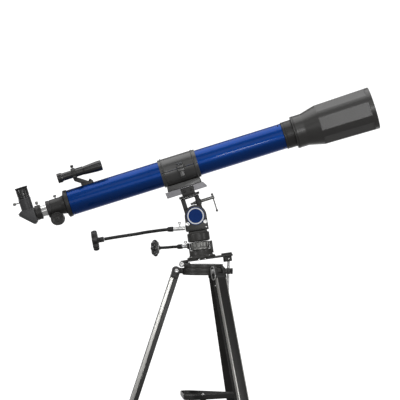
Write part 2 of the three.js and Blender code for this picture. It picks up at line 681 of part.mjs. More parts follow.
function finderBracket() {
  const ring = pipe("x", 12.9, 17.5, -327, -315, [0, 0, FINDER_HEIGHT], 32);
  const stalk = cut(
    join(slab([[-327, 66], [-327, 58], [-303, 42], [-281, 42], [-281, 46], [-315, 66]], -6, 6),
      box(-327, -291, -4, 4, 64, 68)),
    bar("x", 12.9, -340, -270, [0, 0, FINDER_HEIGHT], 32),
  );
  const pad = cut(box(-309, -271, -13, 13, 34, 47), bar("x", TUBE_RADIUS + GAP + 0.1, -400, 0, [0, 0, 0], 48));
  const screwHead = (angle) =>
    join(bar("z", 1.8, 17, 21, [-321, 0, 0], 10), bar("z", 4.75, 20.5, 27, [-321, 0, 0], 12))
      .rotate([angle, 0, 0]).translate([0, 0, FINDER_HEIGHT]);
  const body = join(ring, stalk, pad, screwHead(0), screwHead(120), screwHead(-120));
  return piece("finder_bracket", body, "black", 0.45);
}

// ---- assembly -----------------------------------------------------------------------------------------
function opticalTube() {
  const eyepieceLift = frameAt("eyepiece_lift", [0, 0, 0], null, 0, eyepiece());
  const diagonalTurn = frameAt("diagonal_turn", [0, 0, 0], null, 0, diagonal(), eyepieceLift);
  const focusSlide = frameAt("focus_slide", [0, 0, 0], null, 0, drawtube(), diagonalTurn);
  const latch = frameAt("cradle_latch_turn", [0, -50, 0], null, 0, cradleLatch());
  const open = frameAt("cradle_open", [0, CRADLE.pivot, 0], null, 0);
  const pinion = frameAt("focus_knobs_turn", [PINION.s, 0, PINION.v], null, 0);
  const hood = frameAt("dew_shield_slide", [0, 0, 0], null, 0, dewShield());
  return frameAt(
    "tube", [0, 0, TUBE_HEIGHT], null, 0,
    cradleLower(), cradleUpper(), latch, open, mainTube(), objectiveCell(), objectiveLens(), hood,
    focuserBody(), focusKnobs(), pinion, focusSlide, finderScope(), finderBracket(),
  );
}

function decAssembly() {
  const screw = frameAt("tension_screw_turn", SCREW_AT, null, 0);
  return frameAt(
    "dec_turn", [0, 0, DEC_HEIGHT], "y", -DEC_LEAN,
    yoke(), tensionScrew(), tommyBar(), screw, saddle(), dovetailBar(), opticalTube(),
  );
}

// A control points to the left, turned about the plate's upright and a little upwards.
function controlFrame(name, position, turn, ...children) {
  const group = frameAt(name, position, "z", turn, ...children);
  group.rotation.order = "ZYX";
  group.rotation.y = -CONTROL_RISE * DEGREE;
  return group;
}

function polarAssembly() {
  const knob = frameAt("dec_knob_spin", DEC_SHAFT_END, "y", DEC_KNOB_DROOP, decKnob());
  const control = controlFrame(
    "dec_control", [DEC_CONTROL.x, DEC_CONTROL.y, DEC_CONTROL.z], 180,
    controlSleeve("dec_sleeve", 1.2, 36.7, 17, 17), decFlexShaft(), knob,
  );
  return frameAt(
    "ra_turn", [POLAR_X, 0, 0], null, 0, raHousing(), decCover(), badge(), control, decAssembly(),
  );
}

function tiltAssembly() {
  const rod = frameAt(
    "latitude_rod", [ROD_PIN.x, 0, ROD_PIN.z], "y", PLATE_TILT + ROD_LEAN, latitudeRod(),
  );
  const fixed = frameAt("ra_fixed", [POLAR_X, 0, 0], null, 0, raBase(), raSettingRing());
  const knob = frameAt("ra_knob_spin", [RA_SHAFT.end, 0, 0], null, 0, raKnob());
  const control = controlFrame(
    "ra_control", [POLAR_X + WORM_FACE, 0, WORM_HEIGHT], 180 - RA_CONTROL_TURN,
    controlSleeve("ra_sleeve", 2.7, RA_SHAFT.start - GAP, 9.2, 12.7), raFlexShaft(), knob,
  );
  return frameAt(
    "latitude_tilt", [LATITUDE_HINGE.x, 0, LATITUDE_HINGE.z], "y", -PLATE_TILT,
    tiltPlate(), rod, fixed, control, polarAssembly(),
  );
}

function azimuthAssembly() {
  const bolt = latitudeHingeBolt();
  bolt.position.set(LATITUDE_HINGE.x, 0, LATITUDE_HINGE.z);
  const clamp = frameAt(
    "latitude_clamp",
    [LATITUDE_HINGE.x + CLAMP_OFFSET.x, 0, LATITUDE_HINGE.z + CLAMP_OFFSET.z], "y", ROD_LEAN,
    latitudeClamp(), latitudeKnob(),
  );
  return frameAt("azimuth_turn", [0, 0, 0], null, 0, azimuthBase(), bolt, clamp, tiltAssembly());
}

const telescope = new THREE.Group();
telescope.name = "telescope_on_tripod";
const assembly = frameAt(
  "assembly", [0, 0, 0], null, 0,
  tripodHead(), ...Object.entries(LEGS).map(([side, azimuth]) => leg(side, azimuth)),
  frameAt("hub_slide", [0, 0, armRun().hubHeight], null, 0, spreaderHub(), accessoryTray()),
  azimuthAssembly(),
);
telescope.add(assembly);

// The origin goes under the middle of the object's box.
const bounds = new THREE.Box3().setFromObject(telescope, true);
const middle = bounds.getCenter(new THREE.Vector3());
assembly.position.set(-middle.x, -middle.y, -bounds.min.z);

export default telescope;
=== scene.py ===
"""A refracting telescope on a small equatorial mount and a folding tripod, as a finished model.

Every piece is worked out in millimetres in the frame of the body that it belongs to, whose place
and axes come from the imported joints, and goes into its mesh in metres at its place at rest.
"""
import json
import math
import bmesh
import bpy
import numpy as np
from mathutils import Matrix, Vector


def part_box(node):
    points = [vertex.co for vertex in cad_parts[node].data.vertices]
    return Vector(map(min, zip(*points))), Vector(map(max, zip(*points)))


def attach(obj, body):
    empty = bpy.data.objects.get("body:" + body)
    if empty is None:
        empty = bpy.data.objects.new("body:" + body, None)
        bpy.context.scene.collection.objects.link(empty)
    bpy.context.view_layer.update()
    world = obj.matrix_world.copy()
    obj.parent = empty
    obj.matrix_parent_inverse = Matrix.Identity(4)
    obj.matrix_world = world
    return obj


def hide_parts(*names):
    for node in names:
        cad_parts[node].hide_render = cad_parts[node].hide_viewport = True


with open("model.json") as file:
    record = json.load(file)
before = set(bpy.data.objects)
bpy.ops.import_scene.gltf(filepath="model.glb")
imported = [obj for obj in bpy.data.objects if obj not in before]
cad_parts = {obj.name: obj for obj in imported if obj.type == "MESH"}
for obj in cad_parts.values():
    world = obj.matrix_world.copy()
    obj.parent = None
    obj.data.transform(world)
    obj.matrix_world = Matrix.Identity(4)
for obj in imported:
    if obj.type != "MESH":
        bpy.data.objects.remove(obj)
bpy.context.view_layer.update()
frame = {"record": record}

MM = 0.001
DEG = math.pi / 180
SIDES = ("left", "front", "rear")

# ---- frames: (origin in millimetres, 3x3 matrix whose columns are the local axes) ----------------
JOINTS = {j["name"]: j for j in frame["record"]["behaviour"]["joints"]}
Y = np.array([0.0, 1.0, 0.0])
UP = np.array([0.0, 0.0, 1.0])


def unit(vector):
    vector = np.asarray(vector, float)
    return vector / np.linalg.norm(vector)


def at(joint):
    return np.array(JOINTS[joint]["pos_m"]) * 1000


def axis(joint):
    return unit(JOINTS[joint]["axis"])


def axes(x=None, y=None, z=None):
    """The matrix of three local axes from two of them."""
    if x is None:
        x = np.cross(y, z)
    elif y is None:
        y = np.cross(z, x)
    elif z is None:
        z = np.cross(x, y)
    return np.column_stack([unit(x), unit(y), unit(z)])


def upright_on(x, z):
    """Axes with x exact and z as near as it can be to the one given."""
    x = unit(x)
    return axes(x=x, z=z - x * np.dot(z, x))


TUBE_AXES = axes(x=axis("tube_slide"), z=axis("cradle_latch_turn"))
POLAR_AXES = axes(y=Y, z=axis("ra_turn"))
CRADLE_PIVOT = 51
TUBE = (at("cradle_open") - Y * CRADLE_PIVOT, TUBE_AXES)
DEC = (at("dec_turn"), TUBE_AXES)
SCREW = (at("tension_screw_turn"), TUBE_AXES)
PINION = (at("focus_knobs_turn"), TUBE_AXES)
LATCH = (at("cradle_latch_turn"), TUBE_AXES)
POLAR = (at("ra_turn"), POLAR_AXES)
PLATE = (at("latitude_tilt"), POLAR_AXES)
RA_KNOB = (at("ra_knob_spin"), upright_on(axis("ra_knob_spin"), POLAR_AXES[:, 2]))
RA_CONTROL = (RA_KNOB[0] - 95 * axis("ra_knob_spin"), RA_KNOB[1])
DEC_CONTROL = (at("dec_sleeve_spin"), upright_on(axis("dec_sleeve_spin"), POLAR_AXES[:, 2]))
DEC_KNOB = (at("dec_knob_spin"), upright_on(axis("dec_knob_spin"), POLAR_AXES[:, 2]))
CLAMP = (at("rod_clamp_swing"), axes(x=axis("rod_clamp_knob_turn"), y=Y))
ROD = (at("latitude_rod_swing"), CLAMP[1])
STAND = (at("azimuth_turn") * [1, 1, 0], np.eye(3))
HUB_BELOW = 9
HUB = (STAND[0] + UP * (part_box("spreader_hub")[0][2] * 1000 + HUB_BELOW), np.eye(3))
LEG = {s: (at(f"leg_fold_{s}"), axes(y=axis(f"leg_fold_{s}"), z=-axis(f"leg_extend_{s}")))
       for s in SIDES}
ARM_SLOPE = 30 * DEG


def arm_frame(side):
    outward = np.cross(axis(f"leg_fold_{side}"), UP)
    along = UP * math.sin(ARM_SLOPE) - outward * math.cos(ARM_SLOPE)
    return (at(f"arm_fold_{side}"), axes(y=axis(f"leg_fold_{side}"), z=along))


ARM = {s: arm_frame(s) for s in SIDES}
AZIMUTH = {s: math.atan2(*(LEG[s][0] - STAND[0])[1::-1]) for s in SIDES}
WORLD = (np.zeros(3), np.eye(3))

# ---- surfaces: each is (points in millimetres, list of faces) ------------------------------------


def soften(points, radius, closed=False, steps=3):
    """The line with each corner cut back by radius and bridged by a quadratic curve."""
    points = np.asarray(points, float)
    if radius <= 0:
        return points
    before = np.roll(points, 1, 0) - points
    after = np.roll(points, -1, 0) - points
    lengths_b, lengths_a = np.linalg.norm(before, axis=1), np.linalg.norm(after, axis=1)
    back = np.minimum(radius, 0.45 * np.minimum(lengths_b, lengths_a))
    first = points + before * (back / np.maximum(lengths_b, 1e-9))[:, None]
    last = points + after * (back / np.maximum(lengths_a, 1e-9))[:, None]
    t = np.linspace(0, 1, steps + 1)[None, :, None]
    curve = (1 - t) ** 2 * first[:, None] + 2 * t * (1 - t) * points[:, None] + t**2 * last[:, None]
    if closed:
        return curve.reshape(-1, points.shape[1])
    inner = curve[1:-1].reshape(-1, points.shape[1])
    return np.vstack([points[:1], inner, points[-1:]])


def grid_faces(rows, columns, wrap_rows=False, wrap_columns=True):
    """Quads between neighbouring rows and columns of a grid of points."""
    index = np.arange(rows * columns).reshape(rows, columns)
    down = np.roll(index, -1, 0)
    right = np.roll(index, -1, 1)
    both = np.roll(down, -1, 1)
    quads = np.stack([index, right, both, down], -1)
    quads = quads[: rows if wrap_rows else rows - 1, : columns if wrap_columns else columns - 1]
    return quads.reshape(-1, 4).tolist()


def about(axis_name, radius, angle, along, centre=(0, 0, 0)):
    """Cylindrical coordinates about an axis through centre, as points."""
    c, s = radius * np.cos(angle), radius * np.sin(angle)
    along = along + 0 * c
    order = {"x": (along, c, s), "y": (s, along, c), "z": (c, s, along)}[axis_name]
    return np.stack(order, -1) + np.asarray(centre, float)


def revolve(axis_name, profile, centre=(0, 0, 0), soft=0.6, turns=72, loop=False, shape=None):
    """Surface of revolution: the softened profile of (radius, along) turned round the axis. With
    shape, the radius is shape(radius, angle, along)."""
    line = soften(profile, soft, closed=loop)
    radius, along = line[:, :1], line[:, 1:]
    angle = np.linspace(0, 2 * np.pi, turns, endpoint=False)[None, :]
    if shape is not None:
        radius = shape(radius, angle, along)
    points = about(axis_name, radius + 0 * angle, angle, along, centre)
    return points.reshape(-1, 3), grid_faces(*points.shape[:2], wrap_rows=loop)


def rod(axis_name, radius, low, high, centre=(0, 0, 0), soft=0.6, turns=40):
    return revolve(axis_name, [(0, low), (radius, low), (radius, high), (0, high)], centre, soft, turns)


def ring(axis_name, inner, outer, low, high, centre=(0, 0, 0), soft=0.5, turns=72):
    profile = [(inner, low), (outer, low), (outer, high), (inner, high)]
    return revolve(axis_name, profile, centre, soft, turns, loop=True)


def lobes(count, depth, power=1.0, from_radius=0.0):
    """A radius that dips count times a turn, by depth at the rim and not at all at from_radius."""

    def shape(radius, angle, along):
        dip = (0.5 - 0.5 * np.cos(count * angle)) ** power
        reach = np.clip((radius - from_radius) / max(radius.max() - from_radius, 1e-9), 0, 1)
        return radius - depth * dip * reach

    return shape


def prism(axis_name, outline, low, high, soft=1.0, corner=2.0, centre=(0, 0, 0), steps=3):
    """An outline with rounded corners, carried along the axis, its two rims rounded by drawing the
    outline in along a quarter circle. Outline axes are (x, z) for y, (y, z) for x, (x, y) for z."""
    line = soften(outline, corner, closed=True, steps=4)
    area = np.sum(line[:, 0] * np.roll(line[:, 1], -1) - np.roll(line[:, 0], -1) * line[:, 1])
    if area < 0:
        line = line[::-1]
    ahead = np.roll(line, -1, 0) - np.roll(line, 1, 0)
    normal = np.stack([ahead[:, 1], -ahead[:, 0]], 1)
    normal /= np.maximum(np.linalg.norm(normal, axis=1), 1e-9)[:, None]
    angle = np.linspace(0, np.pi / 2, steps + 1)
    inset = np.concatenate([soft * (1 - np.sin(angle)), soft * (1 - np.sin(angle))[::-1]])
    depth = np.concatenate([low + soft * (1 - np.cos(angle)), (high - soft * (1 - np.cos(angle)))[::-1]])
    layers = line[None] - normal[None] * inset[:, None, None]
    flat = np.concatenate([layers, np.broadcast_to(depth[:, None, None], layers.shape[:2] + (1,))], 2)
    order = {"x": [2, 0, 1], "y": [0, 2, 1], "z": [0, 1, 2]}[axis_name]
    points = flat[..., order].reshape(-1, 3) + np.asarray(centre, float)
    rows, columns = layers.shape[:2]
    faces = grid_faces(rows, columns)
    faces.append(list(range(columns))[::-1])
    faces.append(list(range((rows - 1) * columns, rows * columns)))
    return points, faces


def hexagon(radius):
    """The outline of a nut, by the distance from its middle to its corners."""
    return [(radius * math.cos(a * 60 * DEG), radius * math.sin(a * 60 * DEG)) for a in range(6)]


def block(x0, x1, y0, y1, z0, z1, soft=1.0, corner=1.5, along="z"):
    """A box with rounded edges, carried along one axis."""
    spans = {"x": (x0, x1), "y": (y0, y1), "z": (z0, z1)}
    across = {"x": "yz", "y": "xz", "z": "xy"}[along]
    (a0, a1), (b0, b1) = spans[across[0]], spans[across[1]]
    outline = [(a0, b0), (a1, b0), (a1, b1), (a0, b1)]
    return prism(along, outline, *spans[along], soft=soft, corner=corner)


def along_path(path, radius, turns=24, up=UP):
    """A round tube: circles of the given radius set square to the path at each of its points."""
    path = np.asarray(path, float)
    ahead = np.gradient(path, axis=0)
    ahead /= np.linalg.norm(ahead, axis=1)[:, None]
    side = np.cross(ahead, up)
    side /= np.linalg.norm(side, axis=1)[:, None]
    top = np.cross(side, ahead)
    angle = np.linspace(0, 2 * np.pi, turns, endpoint=False)
    radius = np.broadcast_to(np.asarray(radius, float), len(path))[:, None, None]
    wheel = side[:, None] * np.cos(angle)[None, :, None] + top[:, None] * np.sin(angle)[None, :, None]
    points = path[:, None] + radius * wheel
    rows = len(path)
    faces = grid_faces(rows, turns)
    faces.append(list(range(turns))[::-1])
    faces.append(list(range((rows - 1) * turns, rows * turns)))
    return points.reshape(-1, 3), faces


def smooth_path(points, count):
    """A smooth curve through given points: a Catmull-Rom spline read at even steps."""
    p = np.asarray(points, float)
    p = np.vstack([2 * p[0] - p[1], p, 2 * p[-1] - p[-2]])
    t = np.linspace(0, len(points) - 1 - 1e-9, count)
    i = t.astype(int)
    f = (t - i)[:, None]
    a, b, c, d = p[i], p[i + 1], p[i + 2], p[i + 3]
    return 0.5 * (2 * b + (c - a) * f + (2 * a - 5 * b + 4 * c - d) * f**2
                  + (3 * b - a - 3 * c + d) * f**3)


def ball(radius, centre, turns=24):
    angle = np.linspace(-np.pi / 2, np.pi / 2, 13)
    profile = np.stack([radius * np.cos(angle), radius * np.sin(angle)], 1)
    profile[[0, -1], 0] = 0
    return revolve("z", profile, centre, soft=0, turns=turns)


def moved(surface, turn=0, axis_name="z", offset=(0, 0, 0)):
    """The surface turned by degrees about an axis of its frame, then shifted."""
    points, faces = surface
    c, s = math.cos(turn * DEG), math.sin(turn * DEG)
    matrix = {"x": [[1, 0, 0], [0, c, -s], [0, s, c]], "y": [[c, 0, s], [0, 1, 0], [-s, 0, c]],
              "z": [[c, -s, 0], [s, c, 0], [0, 0, 1]]}[axis_name]
    return points @ np.array(matrix).T + np.asarray(offset, float), faces


def mirrored(surface, column=1):
    points, faces = surface
    points = points.copy()
    points[:, column] *= -1
    return points, [face[::-1] for face in faces]


def screw_head(axis_name, radius, height, base, centre=(0, 0, 0), socket=0.45):
    """A domed head with a round socket, standing on base; a negative height points the other way."""
    r, h = radius, height
    profile = [(0, base), (r, base), (r, base + 0.55 * h), (0.78 * r, base + h),
               (socket * r, base + h), (socket * r, base + 0.5 * h), (0, base + 0.5 * h)]
    return revolve(axis_name, profile, centre, soft=0.25 * abs(h), turns=32)


# ---- pieces --------------------------------------------------------------------------------------


def make(name, surfaces, finish, body, place=WORLD, stands_for=(), sharp=38):
    """One mesh piece from surfaces in a frame: placed, merged at its seams, riding on its body."""
    points, faces, count = [], [], 0
    for part_points, part_faces in surfaces:
        points.append(part_points)
        faces += [[i + count for i in face] for face in part_faces]
        count += len(part_points)
    origin, matrix = place
    placed = (np.vstack(points) @ matrix.T + origin) * MM
    mesh = bpy.data.meshes.new(name)
    mesh.from_pydata(placed.tolist(), [], faces)
    made = bmesh.new()
    made.from_mesh(mesh)
    bmesh.ops.remove_doubles(made, verts=made.verts, dist=2e-6)
    bmesh.ops.dissolve_degenerate(made, edges=made.edges, dist=1e-6)
    bmesh.ops.recalc_face_normals(made, faces=made.faces)
    made.to_mesh(mesh)
    made.free()
    mesh.polygons.foreach_set("use_smooth", np.ones(len(mesh.polygons), bool))
    mesh.set_sharp_from_angle(angle=sharp * DEG)
    mesh.materials.append(finish)
    piece = bpy.data.objects.new(name, mesh)
    bpy.context.scene.collection.objects.link(piece)
    if stands_for:
        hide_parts(*stands_for)
    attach(piece, body)
    return piece


# ---- finishes ------------------------------------------------------------------------------------


def linear(hex_colour):
    """An sRGB hex colour as linear RGBA."""
    srgb = np.array([int(hex_colour[i:i + 2], 16) for i in (1, 3, 5)]) / 255
    value = np.where(srgb <= 0.04045, srgb / 12.92, ((srgb + 0.055) / 1.055) ** 2.4)
    return (*value, 1.0)


def add(tree, kind, inputs=(), **settings):
    """A node with its settings; an input's value is a number, a colour or the socket linked to it."""
    made = tree.nodes.new(kind)
    for key, value in settings.items():
        setattr(made, key, value)
    for key, value in dict(inputs).items():
        if isinstance(value, bpy.types.NodeSocket):
            tree.links.new(value, made.inputs[key])
        else:
            made.inputs[key].default_value = value
    return made


def grain(tree, size, place=WORLD, detail=2.0):
    """Noise whose spots measure size millimetres along the axes of a frame."""
    where = add(tree, "ShaderNodeTexCoord")
    mapping = add(
        tree, "ShaderNodeMapping",
        {"Vector": where.outputs["Object"], "Location": tuple(place[0] * MM),
         "Rotation": Matrix(place[1].tolist()).to_euler(), "Scale": tuple(s * MM for s in size)},
        vector_type="TEXTURE")
    noise = add(tree, "ShaderNodeTexNoise", {"Vector": mapping.outputs[0], "Scale": 1.0, "Detail": detail})
    return noise.outputs["Fac"]


def spread(tree, fac, low, high):
    """The noise value stretched from its middle range onto low to high."""
    made = add(tree, "ShaderNodeMapRange", {"Value": fac, "From Min": 0.3, "From Max": 0.7,
                                            "To Min": low, "To Max": high})
    return made.outputs[0]


def finish(name, dark, light, roughness, metallic=0.0, grain_size=0.5, height=0.02,
           place=WORLD, patch=40, coat=0.0, coat_roughness=0.05, ior=1.5, specular=0.5):
    """A finish whose colour wanders between two tones, whose roughness wanders with it, and whose
    surface has a grain of the given height and size in millimetres, one size or one for each axis."""
    if not isinstance(grain_size, tuple):
        grain_size = (grain_size,) * 3
    material = bpy.data.materials.new(name)
    material.use_nodes = True
    tree = material.node_tree
    shader = tree.nodes["Principled BSDF"]
    wander = grain(tree, (patch,) * 3, place, detail=3)
    fine = grain(tree, grain_size, place, detail=2)
    colour = add(tree, "ShaderNodeMix", {0: spread(tree, wander, 0, 1), 6: linear(dark), 7: linear(light)},
                 data_type="RGBA")
    tree.links.new(colour.outputs[2], shader.inputs["Base Color"])
    low, high = roughness
    tree.links.new(spread(tree, fine, low, high), shader.inputs["Roughness"])
    if height:
        bump = add(tree, "ShaderNodeBump", {"Height": fine, "Distance": height * MM, "Strength": 1.0})
        tree.links.new(bump.outputs[0], shader.inputs["Normal"])
    shader.inputs["Metallic"].default_value = metallic
    if not metallic:
        shader.inputs["IOR"].default_value = ior
        shader.inputs["Specular IOR Level"].default_value = specular
    shader.inputs["Coat Weight"].default_value = coat
    shader.inputs["Coat Roughness"].default_value = coat_roughness
    return material


# Metallic blue enamel on a rolled aluminium tube: a broad blue sheen under a thin wet clear coat.
blue_enamel = finish("blue metallic enamel", "#0a3c88", "#0c4190", (0.42, 0.48), metallic=1.0,
                     grain_size=3, height=0.002, patch=120, coat=0.3, coat_roughness=0.06)
# Injection-moulded ABS with a fine spark-eroded texture: dark, even, softly shining.
textured_abs = finish("textured black ABS", "#212020", "#2a2928", (0.34, 0.46), grain_size=0.6,
                      height=0.03)
# The hood's smoother moulding, a little greyer, so that its flats show as broad plain bands.
hood_abs = finish("satin hood ABS", "#2a2928", "#32312f", (0.32, 0.38), grain_size=0.8,
                  height=0.006, patch=90, specular=0.8)
# Powder coat on a zinc die casting: slightly pebbled charcoal.
powder_coat = finish("charcoal powder coat", "#302f2d", "#3a3937", (0.32, 0.44), grain_size=1.1,
                     height=0.03, patch=25)
# Satin black paint on castings and pressings.
black_paint = finish("satin black paint", "#201f1e", "#292827", (0.36, 0.5), grain_size=0.9,
                     height=0.015)
# Gloss black paint on the finder, the eyepiece and the focuser: black with bright long highlights.
gloss_paint = finish("gloss black paint", "#121212", "#191919", (0.22, 0.26), grain_size=3,
                     height=0, specular=0.8)
# Satin paint on the cradle's rings, greyer than the castings': a pale sheen along their upper side.
cradle_paint = finish("cradle satin paint", "#30302f", "#393938", (0.3, 0.38), grain_size=0.9,
                      height=0.01, specular=1.0)
# Gloss phenolic: near-black with a sharp wet highlight.
gloss_phenolic = finish("gloss black phenolic", "#0e0e0e", "#161616", (0.12, 0.2), grain_size=2,
                        height=0.003, coat=1.0)
# Nitrile rubber: matt and slightly blotchy.
rubber = finish("matt black rubber", "#111112", "#19191a", (0.65, 0.8), grain_size=0.7, height=0.04)
# Black vinyl sheath drawn over the wound shaft.
vinyl = finish("black vinyl sheath", "#141414", "#1d1d1d", (0.4, 0.5), grain_size=0.8, height=0.02)
# Nickel plate on turned steel: bright, with a faint mottle.
bright_plate = finish("bright nickel plate", "#dedede", "#ececea", (0.27, 0.33), metallic=1.0,
                      grain_size=1.2, height=0.001, patch=12)
# Black zinc on small forgings: dark, but bright where it faces the light.
dark_plate = finish("black zinc plate", "#4a4b4d", "#5d5e60", (0.22, 0.36), metallic=1.0,
                    grain_size=0.6, height=0.008, patch=8)
# Satin nickel on the setting ring, thumbscrews and small bars: duller than the plate above.
ring_plate = finish("satin nickel plate", "#838381", "#92928f", (0.34, 0.44), metallic=1.0,
                    grain_size=0.5, height=0.005, patch=12)
# Polished chrome on the drawtube.
chrome = finish("polished chrome", "#e2e2e2", "#f0f0ee", (0.14, 0.2), metallic=1.0,
                grain_size=4, height=0.001, patch=30)
# Anodised aluminium bar, milled: soft grey with long fine lines.
anodised_bar = finish("milled anodised aluminium", "#96959a", "#a09fa2", (0.45, 0.55), metallic=0.6,
                      grain_size=(40, 0.5, 0.5), height=0.01, place=DEC)
# Grey ABS of the mirror box.
grey_abs = finish("grey ABS", "#38383a", "#424244", (0.34, 0.45), grain_size=0.8, height=0.01)
# The badge's matt printed label, and its white ring.
badge_blue = finish("badge blue print", "#0a2f70", "#0c3578", (0.55, 0.65), grain_size=3,
                    height=0.002, specular=0.15)
badge_white = finish("badge white print", "#e6e9ec", "#f4f6f8", (0.5, 0.6), grain_size=3,
                     height=0.002)
# Black enamel inside tubes and under lenses: swallows light. Also the sheet of painted shade in the cradle's
# split.
lining_and_shade_black = finish("matt black lining and painted shade", "#060606", "#0b0b0b", (0.85, 0.95), grain_size=0.6, height=0.03)


def leg_metal(side):
    """Extruded aluminium, satin anodised: fine die lines along the leg."""
    return finish(f"anodised leg {side}", "#b3b2ae", "#c2c1bd", (0.24, 0.34), metallic=0.7,
                  grain_size=(0.6, 0.6, 90), height=0.008, place=LEG[side], patch=60)


def leg_black(side):
    """The same extrusion anodised black: the die lines catch a long soft sheen."""
    return finish(f"black anodised leg {side}", "#232221", "#2c2b2a", (0.3, 0.42), metallic=0.2,
                  grain_size=(0.6, 0.6, 90), height=0.006, place=LEG[side], patch=60)


def coated_glass():
    """Crown glass with a multilayer coating: clear, with a green-blue bloom that grows at the rim."""
    material = bpy.data.materials.new("coated crown glass")
    material.use_nodes = True
    tree = material.node_tree
    shader = tree.nodes["Principled BSDF"]
    facing = add(tree, "ShaderNodeLayerWeight", {"Blend": 0.35})
    colour = add(tree, "ShaderNodeMix", {0: facing.outputs["Facing"], 6: linear("#dff1ee"),
                                         7: linear("#7fb9c9")}, data_type="RGBA")
    tree.links.new(colour.outputs[2], shader.inputs["Base Color"])
    shader.inputs["Roughness"].default_value = 0.03
    shader.inputs["IOR"].default_value = 1.52
    shader.inputs["Transmission Weight"].default_value = 0.85
    shader.inputs["Coat Weight"].default_value = 0.5
    shader.inputs["Coat Roughness"].default_value = 0.02
    return material


lens_glass = coated_glass()

# ---- optics: in the tube's frame, x along the tube to the sky, z up, y to the back ---------------
TUBE_RADIUS = 40
TUBE_REAR, TUBE_FRONT = -360, 334
EYEPIECE_AT = -491
FINDER_HEIGHT = 82.5


def main_tube():
    wall = 1.6
    profile = [(TUBE_RADIUS - wall, TUBE_REAR + 0.3), (TUBE_RADIUS, TUBE_REAR + 0.3),
               (TUBE_RADIUS, TUBE_FRONT), (TUBE_RADIUS - wall, TUBE_FRONT)]
    tube = revolve("x", profile, soft=0.4, turns=160, loop=True)
    make("main_tube_shell", [tube], blue_enamel, "optical_tube", TUBE, ["main_tube"])
    screws = [moved(screw_head("z", 2.6, 1.6, TUBE_RADIUS - 0.2, (s, 0, 0)), 120 * i + 30, "x")
              for i in range(3) for s in (TUBE_REAR + 8, TUBE_FRONT - 9)]
    make("tube_end_screws", screws, black_paint, "optical_tube", TUBE)


def baffles():
    """Two stop rings inside the tube, seen down the hood."""
    rings = [ring("x", 31 - 4 * i, 38.2, s, s + 1.2, turns=64) for i, s in enumerate((250, 40))]
    make("light_baffles", rings, lining_and_shade_black, "optical_tube", TUBE)


def objective_cell():
    profile = [(35.4, 334.3), (41.6, 334.3), (42.5, 335.4), (42.5, 340), (41.7, 340.6), (41.7, 342),
               (42.5, 342.6), (42.5, 366.7), (40, 366.7), (40, 399), (33, 399), (33, 394), (34.2, 393),
               (34.2, 362), (35.4, 362)]
    make("objective_cell_ring", [revolve("x", profile, soft=0.5, turns=120, loop=True)],
         textured_abs, "optical_tube", TUBE, ["objective_cell"])
    out = np.linspace(0, 1, 9)
    back = np.stack([35 * out, 352.2 + 2.6 * out**2], 1)
    front = np.stack([35 * out, 366.8 - 4.2 * out**2], 1)
    lens = revolve("x", np.vstack([back, front[::-1]]), soft=0, turns=96)
    make("objective_doublet", [lens], lens_glass, "optical_tube", TUBE, ["objective_lens"])
    spacer = ring("x", 32.8, 34.9, 367.6, 371, turns=96)
    make("lens_retaining_ring", [spacer], black_paint, "optical_tube", TUBE)


def dew_shield():
    """The hood: a flaring cone, cut by six flats that follow it until a round rim."""
    half_flat, flats_start, flats_end, sides = 19.5 * DEG, 450, 612, 6
    outer = soften([(40.7, 367.2), (50.5, 367.2), (50.5, 402), (62.4, 450), (66.1, flats_end),
                    (66.45, 626.8), (62.9, 626.8)], 2.0, steps=4)
    fine = np.interp(np.linspace(0, 1, 240), np.linspace(0, 1, len(outer)), np.arange(len(outer)))
    low = fine.astype(int).clip(max=len(outer) - 2)
    outer = outer[low] + (outer[low + 1] - outer[low]) * (fine - low)[:, None]
    inner = soften([(61.1, 614), (57.3, 452), (46.1, 402.3), (40.7, 399)], 3.0)
    line = np.vstack([outer, inner])
    radius, along = line[:, :1], line[:, 1:]
    angle = np.linspace(0, 2 * np.pi, 288, endpoint=False)[None, :]
    wedge = 2 * np.pi / sides
    off = (angle + wedge / 2) % wedge - wedge / 2
    chord = radius * math.cos(half_flat) / np.cos(off)
    is_outer = (np.arange(len(line)) < len(outer))[:, None]
    cut = is_outer & (along < flats_end) & (along > flats_start)
    radius = np.where(cut, np.minimum(chord, radius), radius + 0 * angle)
    points = about("x", radius, angle, along)
    hood = points.reshape(-1, 3), grid_faces(*points.shape[:2], wrap_rows=True)
    make("dew_shield_hood", [hood], hood_abs, "dew_shield", TUBE, ["dew_shield"],
         sharp=30)
    seam = ring("x", 50.0, 50.9, 371, 375, soft=0.4, turns=128)
    make("dew_shield_bead", [seam], textured_abs, "dew_shield", TUBE)
    lining = revolve("x", [(57.3, 456), (60.9, 611), (60.6, 611), (57.0, 456)], soft=0, turns=128, loop=True)
    make("dew_shield_lining", [lining], lining_and_shade_black, "dew_shield", TUBE)


def focuser():
    body = [(17.7, -433), (26, -433), (27, -432), (27, -424), (26, -423), (26, -420), (27, -419),
            (27, -388), (29.5, -376), (41, -372.5), (42.5, -371), (42.5, -360.4), (38, -360.2),
            (30, -366), (17.7, -368)]
    shell = revolve("x", body, soft=1.2, turns=96, loop=True)
    gear_box = prism("y", [(-429, -20), (-391, -20), (-391, -36), (-398, -44), (-422, -44), (-429, -36)],
                     -14, 14, soft=1.5, corner=3)
    web = block(-427, -393, -14, 14, -30, -16, soft=1)
    plate_screws = [screw_head("z", 2.2, -1.6, -44, (s, y, 0)) for s in (-418, -402) for y in (-8, 8)]
    make("focuser_housing", [shell, gear_box, web] + plate_screws, textured_abs, "optical_tube", TUBE,
         ["focuser_body"])
    lock = [rod("z", 2, 24, 33, (-399, 0, 0)), revolve("z", [(0, 31), (5, 31), (5, 37), (0, 37)],
            (-399, 0, 0), shape=lobes(16, 0.5), turns=96)]
    make("focus_lock_screw", lock, ring_plate, "optical_tube", TUBE)


